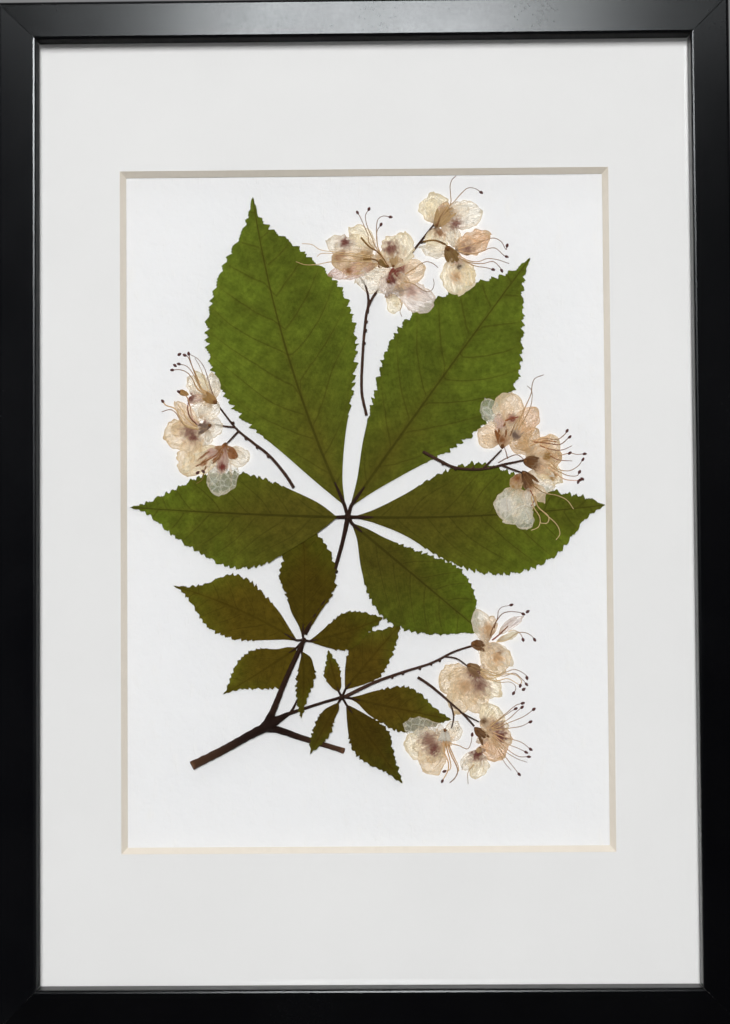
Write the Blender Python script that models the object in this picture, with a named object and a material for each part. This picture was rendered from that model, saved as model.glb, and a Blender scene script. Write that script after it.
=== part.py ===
"""Pressed flower frame: a black picture moulding with a white window mat, and on the paper in its
window a pressed horse-chestnut branch with three palmate leaves and five sprigs of its flowers.

X runs to the right, Z up, and the picture faces -Y. The wall is the plane y = 0, and the origin
is the middle notch of the hanger on the back, where the frame hangs from its nail.
Lists of places on the paper are in millimetres (across, up) from the middle of the paper.
"""

import math

import bmesh
import bpy
from mathutils import Vector

MM = 0.001
GAP = 0.0003                 # clearance between pieces that touch

# Moulding, mitred at the corners
SIGHT_WIDTH = 0.2845         # what the moulding leaves open
SIGHT_HEIGHT = 0.4105
RAIL_FACE = 0.01725
RAIL_DEPTH = 0.022
LIP_WIDTH = 0.00625          # how far the front lip covers the glazing
LIP_DEPTH = 0.0065
FACE_FALL = 0.0012           # the face slopes back this far from the lip to the outer edge
LIP_ROUND = 0.00125
EDGE_ROUND = 0.0016
EDGE_STEPS = 3
WALL_GAP = 0.002             # room for the hanger and the bumpers behind the rails

# Sheets in the rebate, from the front
GLASS_THICK = 0.002
MAT_THICK = 0.0024
WINDOW_WIDTH = 0.2145        # the mat's opening at its front face; the bevel is 45 degrees
WINDOW_HEIGHT = 0.2985
PAPER_THICK = 0.0004
BOARD_THICK = 0.003

# Fittings on the back
TAB_LENGTH = 0.012
TAB_WIDTH = 0.006
TAB_THICK = 0.0005
TAB_BURIED = 0.0035
TAB_SIDE_Z = 0.12            # tabs on the side rails lie this far above and below the middle
HANGER_BELOW_TOP = 0.008
HANGER_HALF = 0.021
HANGER_RISE = 0.0054         # top edge above the notches
HANGER_THICK = 0.0008
HANGER_LIFT = 0.0007         # the toothed middle stands off the rail by this more than the feet
TOOTH_PITCH = 0.0028
TOOTH_DEPTH = 0.0014
HANGER_TEETH = 4             # on each side of the middle notch
PIN_X = 0.0175
PIN_Z = 0.0022
PIN_SHANK = 0.0006
PIN_HOLE = 0.0010
PIN_LENGTH = 0.006
PIN_HEAD = 0.0017
PIN_HEAD_THICK = 0.0005
BUMPER_RADIUS = 0.0037
BUMPER_INSET = 0.012

OUTER_WIDTH = SIGHT_WIDTH + 2 * RAIL_FACE
OUTER_HEIGHT = SIGHT_HEIGHT + 2 * RAIL_FACE
CENTRE_Z = HANGER_BELOW_TOP - OUTER_HEIGHT / 2

# Depths, with the wall at 0 and the front towards -Y
RAIL_BACK = -WALL_GAP
RAIL_FRONT = RAIL_BACK - RAIL_DEPTH
LIP_BACK = RAIL_FRONT + LIP_DEPTH
GLASS_FRONT = LIP_BACK + GAP
GLASS_BACK = GLASS_FRONT + GLASS_THICK
MAT_FRONT = GLASS_BACK + GAP
MAT_BACK = MAT_FRONT + MAT_THICK
PAPER_FRONT = MAT_BACK + GAP
PAPER_BACK = PAPER_FRONT + PAPER_THICK
BOARD_FRONT = PAPER_BACK + GAP
BOARD_BACK = BOARD_FRONT + BOARD_THICK

# Leaflets: base and tip, how far the midrib bows to the left of the line between them, and the
# half-widths left and right of the midrib at these shares of the length. "lift" is the height of
# the blade's back above the paper, and teeth are counted on one margin.
STATIONS = (0.0, 0.08, 0.2, 0.35, 0.5, 0.65, 0.8, 0.92, 1.0)
BLADE_THICK = 0.25
TOOTHLESS = 0.3              # share of the margin next to the base that has no teeth
LEAFLETS = {
    "large_leaflet_upper_left": dict(
        base=(-9.5, 2), tip=(-49, 138), bow=5, lift=0.3, teeth=17, tooth=1.1,
        left=(6.5, 15.5, 27.5, 33.5, 31, 20, 5.5), right=(4, 12, 23.5, 31, 30, 16.5, 2.5)),
    "large_leaflet_upper_right": dict(
        base=(-6.5, 1.5), tip=(73, 110), bow=0.5, lift=0.3, teeth=17, tooth=1.1,
        left=(4.5, 12.5, 20.5, 27.5, 26, 15, 3.5), right=(4.5, 12, 22, 27.5, 27, 15.5, 4)),
    "large_leaflet_left": dict(
        base=(-13, -3.5), tip=(-103.5, 1.5), bow=0.5, lift=1.75, teeth=14, tooth=1.0,
        left=(6.5, 14, 22, 23.5, 18, 10, 2), right=(5.5, 10.5, 15.5, 18, 16, 8.5, 2.5)),
    "large_leaflet_right": dict(
        base=(-5, -3.5), tip=(104.5, 1), bow=-2, lift=0.3, teeth=16, tooth=1.0,
        left=(3.5, 10, 19, 23, 17, 8.5, 4.5), right=(2.5, 8, 18.5, 25, 25.5, 19, 5)),
    "large_leaflet_lower_right": dict(
        base=(-6, -6.5), tip=(50.5, -54.5), bow=0, lift=0.85, teeth=13, tooth=0.9,
        left=(2.5, 4.5, 8, 12, 15, 11.5, 4), right=(4, 12, 19.5, 22.5, 20, 13, 5)),
    "middle_leaflet_left": dict(
        base=(-31, -57), tip=(-84.5, -33), bow=-2, lift=0.3, teeth=11, tooth=0.7,
        left=(2.5, 6.5, 11, 13, 12, 6, 1.5), right=(3, 7, 10.5, 13.5, 12.5, 4.5, 1)),
    "middle_leaflet_top": dict(
        base=(-28, -55), tip=(-28, -4.5), bow=-1, lift=1.2, teeth=8, tooth=0.5,
        left=(2, 5.5, 8, 11, 9.5, 7.5, 4), right=(3.5, 7, 12, 13.5, 12.5, 9, 4)),
    "middle_leaflet_right": dict(
        base=(-25, -57.5), tip=(7, -47.5), bow=-1, lift=0.85, teeth=8, tooth=0.5,
        left=(1.5, 3.5, 6, 8, 7.5, 5, 2), right=(2, 4.5, 7, 7.5, 5.5, 3, 1.5)),
    "middle_leaflet_lower_left": dict(
        base=(-31, -60.5), tip=(-63, -80.5), bow=0.5, lift=0.3, teeth=9, tooth=0.6,
        left=(4, 7.5, 10.5, 8.5, 5, 1.8, 0.6), right=(2.5, 4.5, 8.5, 10, 9, 5.5, 1.5)),
    "middle_leaflet_bottom": dict(
        base=(-28.5, -62), tip=(-29, -91), bow=1, lift=1.2, teeth=7, tooth=0.3,
        left=(3.5, 4.5, 5.2, 4, 2.3, 1.1, 0.6), right=(0.6, 1.7, 2.7, 3.2, 3, 2.2, 1)),
    "small_leaflet_upper_left": dict(
        base=(-12.5, -79.5), tip=(-17, -61.5), bow=0.3, lift=0.3, teeth=5, tooth=0.3,
        left=(1.8, 3, 4, 4, 2.5, 1.5, 0.6), right=(1.6, 2.3, 2.8, 3.2, 2.8, 1.6, 0.8)),
    "small_leaflet_upper_right": dict(
        base=(-9.5, -78.5), tip=(15.5, -49.5), bow=0.2, lift=0.3, teeth=8, tooth=0.6,
        left=(3, 6.5, 9.5, 10, 8.5, 4, 1.5), right=(2.5, 5.5, 8, 7.5, 6, 3.5, 1.2)),
    "small_leaflet_right": dict(
        base=(-7.5, -82.5), tip=(36.5, -92), bow=-0.2, lift=0.3, teeth=9, tooth=0.6,
        left=(2, 5, 8, 10, 8.5, 4, 1.5), right=(1.5, 5, 7.5, 9.5, 8.5, 5.5, 2)),
    "small_leaflet_lower_right": dict(
        base=(-9, -85.5), tip=(15, -119.5), bow=0, lift=0.85, teeth=9, tooth=0.6,
        left=(2.2, 4.5, 7.2, 8, 5.2, 2.8, 1.2), right=(2.5, 5.5, 8.5, 9, 6.8, 3.2, 1.4)),
    "small_leaflet_lower_left": dict(
        base=(-12.8, -84.5), tip=(-25, -106.5), bow=-0.2, lift=1.6, teeth=6, tooth=0.4,
        left=(1.7, 2, 2.6, 3.6, 3.2, 2, 0.6), right=(1.8, 3.6, 4.4, 4.2, 3.6, 2.6, 1)),
}

# Stems: every branch is its course on the paper with its width at both ends. The first branch
# carries the others. "lift" is the height of the stem's back above the paper.
MANY_POINTS = 5              # a course with more points than this needs none between them
STEMS = {
    "branch": dict(lift=0.3, thick=1.1, branches=(
        ([(-77, -111.5), (-63, -104.6), (-51.5, -98.3), (-43.5, -94.3)], 3.9, 3.6),
        ([(-47, -96), (-42.5, -93.5), (-38.5, -91.5), (-35.5, -89.5)], 3.6, 2.6),
        ([(-46, -95), (-39, -96.2), (-29.5, -99.3), (-10, -105.4)], 2.9, 2.3))),
    "petiole_middle": dict(lift=0.85, thick=0.9, branches=(
        ([(-41.8, -89.5), (-39, -84), (-34.5, -72.5), (-29.5, -60.5)], 3.2, 1.9),)),
    "petiole_large": dict(lift=0.3, thick=0.6, branches=(
        ([(-27.3, -54.5), (-22.8, -46.5), (-16.5, -36.5), (-13.7, -26), (-10.8, -16), (-9, -6)],
         2.0, 1.9),)),
    "petiole_small": dict(lift=0.3, thick=0.6, branches=(
        ([(-33.5, -88.8), (-28, -87), (-20, -84.5), (-13.5, -82.8)], 1.5, 1.1),
        ([(-33, -88.6), (-31.5, -86), (-30.5, -83)], 1.2, 0.6))),
    "sprig_top_stem": dict(lift=0.85, thick=0.6, branches=(
        ([(0.5, 41), (-1.5, 51.5), (-1, 67.5), (0, 79.5), (1.5, 88.5), (6, 96.5), (13.5, 104.5),
          (19.5, 111), (24, 116.5), (29.5, 123.5)], 1.2, 0.9),
        ([(1.2, 86), (1.7, 92), (0.5, 98), (-2.5, 103)], 1.3, 0.8),
        ([(24.5, 117), (31, 118), (36, 116)], 0.8, 0.6))),
    "sprig_left_stem": dict(lift=0.85, thick=0.6, branches=(
        ([(-31.5, 9.5), (-35, 15), (-42, 23.5), (-50, 30), (-56.5, 35.5), (-65, 46.5)], 1.4, 0.7),
        ([(-57.5, 36.3), (-63, 37), (-68, 38)], 0.8, 0.5),
        ([(-55.5, 34.7), (-61, 29)], 0.9, 0.6))),
    "sprig_right_stem": dict(lift=0.85, thick=0.6, branches=(
        ([(25, 25), (30.5, 22), (38.5, 18), (47.5, 17), (54, 17.5), (60, 19), (67.5, 20.5)],
         1.3, 0.8),
        ([(51.5, 17.4), (59.5, 25.5)], 0.9, 0.6),
        ([(59, 18.9), (67, 16)], 0.8, 0.6))),
    "sprig_low_stem": dict(lift=0.85, thick=0.6, branches=(
        ([(-8, -81), (-1, -77.5), (5, -74.9), (16.5, -71), (28, -67.4), (38, -62.5), (46, -60)],
         1.5, 0.9),
        ([(33.5, -64.6), (39, -65.5), (44, -69)], 0.8, 0.6))),
    "sprig_bottom_stem": dict(lift=0.85, thick=0.6, branches=(
        ([(22, -73.5), (26.5, -76.5), (31.5, -80.5), (36.5, -85), (41.5, -89.5), (46.5, -95)],
         1.2, 0.9),
        ([(36, -84.6), (37.5, -90.5), (36.5, -96)], 0.8, 0.6),
        ([(41, -89), (44.5, -91), (48.5, -93)], 0.8, 0.6))),
}

# Flowers: the calyx, then every petal's tip and width, then the tips of the stamens
FLOWER_LIFTS = (1.75, 2.35)  # two layers, so that neighbours can overlap
PETAL_THICK = 0.16
FLOWERS = {
    "flower_top_left": dict(layer=0, at=(6.5, 109), petals=(
        (-14, 111, 8), (-14.5, 120, 8.5), (-5.5, 123, 7), (-13, 101.5, 6)),
        stamens=((-3, 131), (2, 132.5), (11.5, 128.5), (7.5, 125.5), (-30, 109), (-27.5, 118))),
    "flower_top_middle": dict(layer=1, at=(11.5, 107.5), petals=((18, 122.5, 13.5),),
                              stamens=()),
    "flower_top_right": dict(layer=0, at=(12, 102.5), petals=(
        (26, 102.5, 11), (2.5, 96.5, 9), (28.5, 87, 8), (14, 87.5, 6)),
        stamens=((34, 105.5), (30.5, 98.5))),
    "flower_upper_right": dict(layer=0, at=(33, 126.5), petals=(
        (30.5, 139, 11.5), (50, 134, 11.5), (34, 112.5, 8.5)),
        stamens=((40.5, 147), (51.5, 139.5))),
    "flower_far_right": dict(layer=1, at=(39, 113), petals=(
        (53.5, 120, 8.5), (41, 96.5, 13), (39, 123.5, 4.5)),
        stamens=((63, 115.5), (62.5, 111), (56.5, 105), (60, 104.5))),
    "flower_left_upper": dict(layer=0, at=(-67, 47.5), petals=(
        (-68.5, 59, 6), (-78, 58.5, 7), (-75, 41.5, 6), (-79, 49.5, 4)),
        stamens=((-81.5, 68.5), (-78, 69.5), (-85.5, 62))),
    "flower_left_middle": dict(layer=1, at=(-71, 36), petals=(
        (-87.5, 33, 12), (-82, 20, 10), (-63.5, 35.5, 7)),
        stamens=((-89.5, 48.5), (-88.5, 44), (-77.5, 48.5))),
    "flower_left_lower": dict(layer=1, at=(-62, 26.5), petals=(
        (-72, 19.5, 4.5), (-57, 22, 3.5), (-52.5, 20.5, 7), (-65, 7, 12), (-79, 10.5, 5)),
        stamens=((-74, 14.5),)),
    "flower_right_upper": dict(layer=0, at=(60, 27.5), petals=(
        (49.5, 33, 9.5), (55.5, 48, 8), (64.5, 49.5, 13), (75, 42, 8)),
        stamens=((78, 58.5),)),
    "flower_right_middle": dict(layer=1, at=(70.5, 20.5), petals=(
        (85.5, 29.5, 9.5), (85.5, 21, 8), (84.5, 8.5, 6)),
        stamens=((88.5, 33.5), (89.5, 24), (96, 24), (94, 12))),
    "flower_right_lower": dict(layer=0, at=(70.5, 11.5), petals=(
        (84, 8, 8.5), (63.5, -9.5, 14), (57.5, 3.5, 8.5)),
        stamens=((84, -14), (72, -10), (90.5, -2))),
    "flower_low_upper": dict(layer=0, at=(48, -59.5), petals=(
        (47, -45, 7.5), (54.5, -48, 4.5), (67.5, -49, 3.5), (66.5, -54, 3.5), (60.5, -69.5, 9.5)),
        stamens=((63, -42.5), (69, -45.5), (68, -58), (73, -57.5))),
    "flower_low_lower": dict(layer=1, at=(45.5, -70.5), petals=(
        (33, -77, 11.5), (40.5, -87, 10.5), (51.5, -89, 10.5), (57, -81, 8.5)),
        stamens=((70, -74.5), (70, -77), (68, -79.5), (63.5, -81))),
    "flower_bottom_left": dict(layer=0, at=(35, -100), petals=(
        (17.5, -97.5, 7), (19.5, -104, 11.5), (25, -114.5, 11.5), (40, -96.5, 7)),
        stamens=((32.5, -115), (32, -118.5), (37.5, -118.5), (45.5, -99))),
    "flower_bottom_right": dict(layer=1, at=(48.5, -96), petals=(
        (57, -109, 10.5), (62.5, -100.5, 9.5), (61, -89, 6)),
        stamens=((64.5, -87.5), (67.5, -85.5), (72.5, -88), (71, -93.5), (71, -105.5),
                 (66, -116.5))),
    "flower_bottom_middle": dict(layer=0, at=(49, -104.5), petals=(
        (41.5, -111.5, 6.5), (49, -117.5, 8.5)),
        stamens=((43.5, -120.5),)),
}


# ---------------------------------------------------------------- materials

def material(name, colour, roughness, metallic=0.0, alpha=1.0):
    made = bpy.data.materials.new(name)
    made.use_nodes = True
    shader = made.node_tree.nodes["Principled BSDF"]
    shader.inputs["Base Color"].default_value = (*colour, 1.0)
    shader.inputs["Roughness"].default_value = roughness
    shader.inputs["Metallic"].default_value = metallic
    shader.inputs["Alpha"].default_value = alpha
    return made


FINISHES = {
    "black_paint": ((0.012, 0.012, 0.013), 0.32),
    "glazing": ((0.9, 0.95, 0.95), 0.02, 0.0, 0.12),
    "mat_board": ((0.86, 0.86, 0.84), 0.8),
    "paper": ((0.88, 0.88, 0.87), 0.85),
    "hardboard": ((0.22, 0.13, 0.07), 0.75),
    "zinc": ((0.62, 0.63, 0.65), 0.35, 1.0),
    "felt": ((0.03, 0.03, 0.03), 0.95),
    "leaf": ((0.12, 0.15, 0.02), 0.6),
    "stem": ((0.05, 0.03, 0.025), 0.6),
    "petal": ((0.75, 0.66, 0.46), 0.7),
}


# ---------------------------------------------------------------- shapes

def add_object(name, mesh, finish):
    """One closed mesh as a named object, with its faces turned outwards."""
    fixed = bmesh.new()
    fixed.from_mesh(mesh)
    bmesh.ops.recalc_face_normals(fixed, faces=fixed.faces)
    fixed.to_mesh(mesh)
    fixed.free()
    made = bpy.data.objects.new(name, mesh)
    bpy.context.collection.objects.link(made)
    if finish not in bpy.data.materials:
        material(finish, *FINISHES[finish])
    mesh.materials.append(bpy.data.materials[finish])
    return made


def joined_mesh(name, solids):
    """One mesh of several closed solids, each a pair of points and faces."""
    points = []
    faces = []
    for solid_points, solid_faces in solids:
        start = len(points)
        points += solid_points
        faces += [[start + corner for corner in face] for face in solid_faces]
    mesh = bpy.data.meshes.new(name)
    mesh.from_pydata(points, [], faces)
    return mesh


def ring_solid(rings):
    """Rings of equally many points, joined side by side and closed at both ends."""
    sides = len(rings[0])
    points = [point for ring in rings for point in ring]
    faces = [list(range(sides))[::-1]]
    for row in range(len(rings) - 1):
        for side in range(sides):
            after = (side + 1) % sides
            low, high = row * sides, (row + 1) * sides
            faces.append([low + side, low + after, high + after, high + side])
    faces.append([(len(rings) - 1) * sides + side for side in range(sides)])
    return points, faces


def box_solid(low, high):
    """A box between two corners."""
    (x0, y0, z0), (x1, y1, z1) = low, high
    front = [(x0, y0, z0), (x1, y0, z0), (x1, y0, z1), (x0, y0, z1)]
    back = [(x, y1, z) for x, _, z in front]
    return ring_solid([front, back])


def cut(target, name, solid):
    """Take a solid away from an object."""
    cutter = add_object(name, joined_mesh(name, [solid]), "zinc")
    cutter.hide_render = True
    cutter.display_type = "WIRE"
    change = target.modifiers.new(name, "BOOLEAN")
    change.operation = "DIFFERENCE"
    change.object = cutter


def fused_object(name, solids, finish):
    """Several overlapping solids as one body."""
    made = add_object(name, joined_mesh(name, solids[1:] or solids), finish)
    if len(solids) > 1:
        rest = add_object(name + "_core", joined_mesh(name + "_core", solids[:1]), finish)
        rest.hide_render = True
        rest.display_type = "WIRE"
        change = made.modifiers.new("fuse", "BOOLEAN")
        change.operation = "UNION"
        change.use_self = True
        change.object = rest
    return made


def smooth_value(places, values, where):
    """The value at one place of a smooth line through given values."""
    last = len(places) - 2
    span = next((i for i in range(last + 1) if where <= places[i + 1]), last)
    before, after = max(span - 1, 0), min(span + 2, last + 1)
    width = places[span + 1] - places[span]
    slope_in = (values[span + 1] - values[before]) / (places[span + 1] - places[before])
    slope_out = (values[after] - values[span]) / (places[after] - places[span])
    t = (where - places[span]) / width
    return ((2 * t**3 - 3 * t**2 + 1) * values[span] + (t**3 - 2 * t**2 + t) * width * slope_in
            + (3 * t**2 - 2 * t**3) * values[span + 1] + (t**3 - t**2) * width * slope_out)


def smooth_course(points, steps):
    """A smooth line through the points, with some steps on every span."""
    places = list(range(len(points)))
    across = [point[0] for point in points]
    up = [point[1] for point in points]
    count = (len(points) - 1) * steps
    return [Vector((smooth_value(places, across, i / steps), smooth_value(places, up, i / steps)))
            for i in range(count + 1)]


def on_paper(point, height):
    """A place on the paper, in millimetres, and a height above it, as a point in metres."""
    return (point[0] * MM, PAPER_FRONT - height * MM, CENTRE_Z + point[1] * MM)


def plate(outline, low, high):
    """A flat piece with this outline between two heights above the paper."""
    return ring_solid([[on_paper(point, height) for point in outline] for height in (low, high)])


# ---------------------------------------------------------------- moulding

def rail_profile():
    """The moulding's section as (inwards from the outer edge, forwards from the back)."""
    rebate = RAIL_FACE - LIP_WIDTH
    edge_top = RAIL_DEPTH - FACE_FALL
    section = [(0, 0), (rebate, 0), (rebate, RAIL_DEPTH - LIP_DEPTH),
               (RAIL_FACE, RAIL_DEPTH - LIP_DEPTH)]
    for step in range(EDGE_STEPS + 1):
        turn = math.radians(90) * step / EDGE_STEPS
        section.append((RAIL_FACE - LIP_ROUND * (1 - math.cos(turn)),
                        RAIL_DEPTH - LIP_ROUND * (1 - math.sin(turn))))
    for step in range(EDGE_STEPS + 1):
        turn = math.radians(90) * step / EDGE_STEPS
        section.append((EDGE_ROUND * (1 - math.sin(turn)),
                        edge_top - EDGE_ROUND * (1 - math.cos(turn))))
    return section


def rail(name, length, height, turn):
    """A rail as long as one side, mitred at both ends, laid at its height and turned to its side."""
    short = GAP / 2 * math.sqrt(2)
    rings = []
    for end in (-1, 1):
        rings.append([(end * (length / 2 - inwards - short), RAIL_BACK - forwards,
                       height / 2 - inwards) for inwards, forwards in rail_profile()])
    points, faces = ring_solid(rings)
    cos, sin = math.cos(turn), math.sin(turn)
    points = [(x * cos + z * sin, y, CENTRE_Z - x * sin + z * cos) for x, y, z in points]
    return add_object(name, joined_mesh(name, [(points, faces)]), "black_paint")


def moulding():
    quarter = math.pi / 2
    return {
        "top": rail("rail_top", OUTER_WIDTH, OUTER_HEIGHT, 0),
        "right": rail("rail_right", OUTER_HEIGHT, OUTER_WIDTH, quarter),
        "bottom": rail("rail_bottom", OUTER_WIDTH, OUTER_HEIGHT, 2 * quarter),
        "left": rail("rail_left", OUTER_HEIGHT, OUTER_WIDTH, 3 * quarter),
    }


# ---------------------------------------------------------------- sheets

def sheet(name, front, back, finish):
    """A sheet that fills the rebate between two depths."""
    half_width = SIGHT_WIDTH / 2 + LIP_WIDTH - GAP
    half_height = SIGHT_HEIGHT / 2 + LIP_WIDTH - GAP
    solid = box_solid((-half_width, front, CENTRE_Z - half_height),
                      (half_width, back, CENTRE_Z + half_height))
    return add_object(name, joined_mesh(name, [solid]), finish)


def window_mat():
    """The mat board with its window, whose cut edges slope in towards the paper."""
    half_width = SIGHT_WIDTH / 2 + LIP_WIDTH - GAP
    half_height = SIGHT_HEIGHT / 2 + LIP_WIDTH - GAP
    loops = []
    for wide, tall, depth in (
            (half_width, half_height, MAT_FRONT),
            (half_width, half_height, MAT_BACK),
            (WINDOW_WIDTH / 2 - MAT_THICK, WINDOW_HEIGHT / 2 - MAT_THICK, MAT_BACK),
            (WINDOW_WIDTH / 2, WINDOW_HEIGHT / 2, MAT_FRONT)):
        loops.append([(x, depth, CENTRE_Z + z) for x, z in (
            (-wide, -tall), (wide, -tall), (wide, tall), (-wide, tall))])
    points = [point for loop in loops for point in loop]
    faces = []
    for loop in range(4):
        for corner in range(4):
            after = (corner + 1) % 4
            beyond = (loop + 1) % 4
            faces.append([loop * 4 + corner, loop * 4 + after,
                          beyond * 4 + after, beyond * 4 + corner])
    return add_object("window_mat", joined_mesh("window_mat", [(points, faces)]), "mat_board")


# ---------------------------------------------------------------- back fittings

def retaining_tab(name, host, x, z, inwards):
    """A flat steel point driven into a rail behind the board. inwards points to the middle."""
    wall_x = SIGHT_WIDTH / 2 + LIP_WIDTH
    wall_z = SIGHT_HEIGHT / 2 + LIP_WIDTH
    root = Vector((-inwards[0] * wall_x if inwards[0] else x,
                   -inwards[1] * wall_z if inwards[1] else z))
    along = Vector(inwards)
    across = Vector((-along.y, along.x))
    back = BOARD_BACK + GAP + TAB_THICK
    start, end = root - along * TAB_BURIED, root + along * (TAB_LENGTH - TAB_BURIED)
    corners = [start - across * TAB_WIDTH / 4, start + across * TAB_WIDTH / 4,
               start + along * TAB_WIDTH / 3 + across * TAB_WIDTH / 2,
               end + across * TAB_WIDTH / 2, end - across * TAB_WIDTH / 2,
               start + along * TAB_WIDTH / 3 - across * TAB_WIDTH / 2]
    rings = [[(c.x, depth, CENTRE_Z + c.y) for c in corners]
             for depth in (BOARD_BACK + GAP, back)]
    add_object(name, joined_mesh(name, [ring_solid(rings)]), "zinc")
    low = root - along * (TAB_BURIED + GAP) - across * (TAB_WIDTH / 2 + GAP)
    high = root + along * GAP + across * (TAB_WIDTH / 2 + GAP)
    cut(host, name + "_slot", box_solid(
        (min(low.x, high.x), BOARD_BACK, CENTRE_Z + min(low.y, high.y)),
        (max(low.x, high.x), back + GAP, CENTRE_Z + max(low.y, high.y))))


def retaining_tabs(rails):
    for side, direction in (("left", 1), ("right", -1)):
        for level, place in (("upper", TAB_SIDE_Z), ("lower", -TAB_SIDE_Z)):
            retaining_tab(f"retaining_tab_{side}_{level}", rails[side], 0, place, (direction, 0))
    retaining_tab("retaining_tab_top", rails["top"], 0, 0, (0, -1))
    retaining_tab("retaining_tab_bottom", rails["bottom"], 0, 0, (0, 1))


def drum(x, z, radius, start, end, sides=10):
    """A round solid along Y between two depths."""
    turns = [2 * math.pi * i / sides for i in range(sides)]
    return ring_solid([[(x + radius * math.cos(t), depth, z + radius * math.sin(t))
                        for t in turns] for depth in (start, end)])


def hanger(top_rail):
    """A sawtooth hanger: a strip on two feet, with notches along the middle's lower edge."""
    foot_back = RAIL_BACK + GAP + HANGER_THICK
    stations = [(-HANGER_HALF, -TOOTH_DEPTH, 0.0),
                (-(HANGER_TEETH + 0.9) * TOOTH_PITCH, -TOOTH_DEPTH, 0.0)]
    for step in range(-2 * HANGER_TEETH - 1, 2 * HANGER_TEETH + 2):
        low = 0.0 if step % 2 == 0 else -TOOTH_DEPTH
        stations.append((step * TOOTH_PITCH / 2, low, HANGER_LIFT))
    stations += [(-x, low, lift) for x, low, lift in stations[1::-1]]
    rings = []
    for x, low, lift in stations:
        front, back = foot_back - HANGER_THICK + lift, foot_back + lift
        rings.append([(x, front, low), (x, back, low), (x, back, HANGER_RISE),
                      (x, front, HANGER_RISE)])
    plate_object = add_object("hanger", joined_mesh("hanger", [ring_solid(rings)]), "zinc")
    for side, x in (("left", -PIN_X), ("right", PIN_X)):
        head_front = foot_back + GAP
        profile = ((PIN_SHANK * 0.4, RAIL_BACK - PIN_LENGTH), (PIN_SHANK, RAIL_BACK - PIN_LENGTH
                   + 3 * PIN_SHANK), (PIN_SHANK, head_front), (PIN_HEAD, head_front),
                   (PIN_HEAD * 0.7, head_front + PIN_HEAD_THICK))
        rings = []
        for radius, depth in profile:
            rings.append([(x + radius * math.cos(math.pi * i / 4), depth,
                           PIN_Z + radius * math.sin(math.pi * i / 4)) for i in range(8)])
        add_object(f"hanger_pin_{side}", joined_mesh("pin", [ring_solid(rings)]), "zinc")
        cut(plate_object, f"foot_hole_{side}",
            drum(x, PIN_Z, PIN_HOLE, foot_back - 2 * HANGER_THICK, foot_back + HANGER_THICK))
        cut(top_rail, f"rail_hole_{side}",
            drum(x, PIN_Z, PIN_HOLE, RAIL_BACK - PIN_LENGTH - 2 * GAP, RAIL_BACK + WALL_GAP / 4))


def bumpers():
    """Two felt discs that keep the lower corners off the wall."""
    for side, sign in (("left", -1), ("right", 1)):
        solid = drum(sign * (OUTER_WIDTH / 2 - BUMPER_INSET),
                     CENTRE_Z - OUTER_HEIGHT / 2 + (RAIL_FACE - LIP_WIDTH) / 2,
                     BUMPER_RADIUS, RAIL_BACK + GAP, 0.0, sides=16)
        add_object(f"bumper_{side}", joined_mesh("bumper", [solid]), "felt")


# ---------------------------------------------------------------- plant

def leaflet_outline(base, tip, bow, left, right, teeth, tooth):
    """Around the blade: up the left margin and down the right one, with forward-pointing teeth."""
    base, tip = Vector(base), Vector(tip)
    along = tip - base
    aside = Vector((-along.y, along.x)).normalized()
    margins = []
    for sign, widths in ((1, left), (-1, right)):
        widths = (0.0, *widths, 0.0)
        places = [(TOOTHLESS * i / 3, 0.0) for i in range(1, 4)]
        for i in range(teeth):
            share = TOOTHLESS + (1 - TOOTHLESS) * (i + 0.75) / teeth
            end = TOOTHLESS + (1 - TOOTHLESS) * (i + 1) / teeth
            places += [(share, tooth * 0.6), (end, -tooth * 0.4)]
        margin = []
        for share, stand in places[:-1]:
            half = smooth_value(STATIONS, widths, share)
            half = max(half + min(stand, half * 0.6), 0.3)
            middle = base + along * share + aside * bow * 4 * share * (1 - share)
            margin.append(middle + aside * sign * half)
        margins.append(margin)
    root = [base + aside * 0.4, base - aside * 0.4]
    return [root[0], *margins[0], tip, *margins[1][::-1], root[1]]


def leaflets():
    for name, leaf in LEAFLETS.items():
        outline = leaflet_outline(leaf["base"], leaf["tip"], leaf["bow"], leaf["left"],
                                  leaf["right"], leaf["teeth"], leaf["tooth"])
        solid = plate(outline, leaf["lift"], leaf["lift"] + BLADE_THICK)
        add_object(name, joined_mesh(name, [solid]), "leaf")


def flat_tube(points, width_start, width_end, low, thick):
    """A pressed stem: a flattened six-sided tube along a smooth course."""
    course = smooth_course(points, 1 if len(points) > MANY_POINTS else 2)
    rings = []
    for i, point in enumerate(course):
        ahead = course[min(i + 1, len(course) - 1)] - course[max(i - 1, 0)]
        aside = Vector((-ahead.y, ahead.x)).normalized()
        half = (width_start + (width_end - width_start) * i / (len(course) - 1)) / 2
        rings.append([on_paper(point + aside * half * across, low + thick * height)
                      for across, height in ((-1, 0.5), (-0.55, 0), (0.55, 0), (1, 0.5),
                                             (0.55, 1), (-0.55, 1))])
    return ring_solid(rings)


def stems():
    for name, stem in STEMS.items():
        solids = []
        for place, (points, start, end) in enumerate(stem["branches"]):
            thinner = 0.05 * place
            solids.append(flat_tube(points, start, end, stem["lift"] + thinner,
                                    stem["thick"] - 2 * thinner))
        fused_object(name, solids, "stem")


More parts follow.
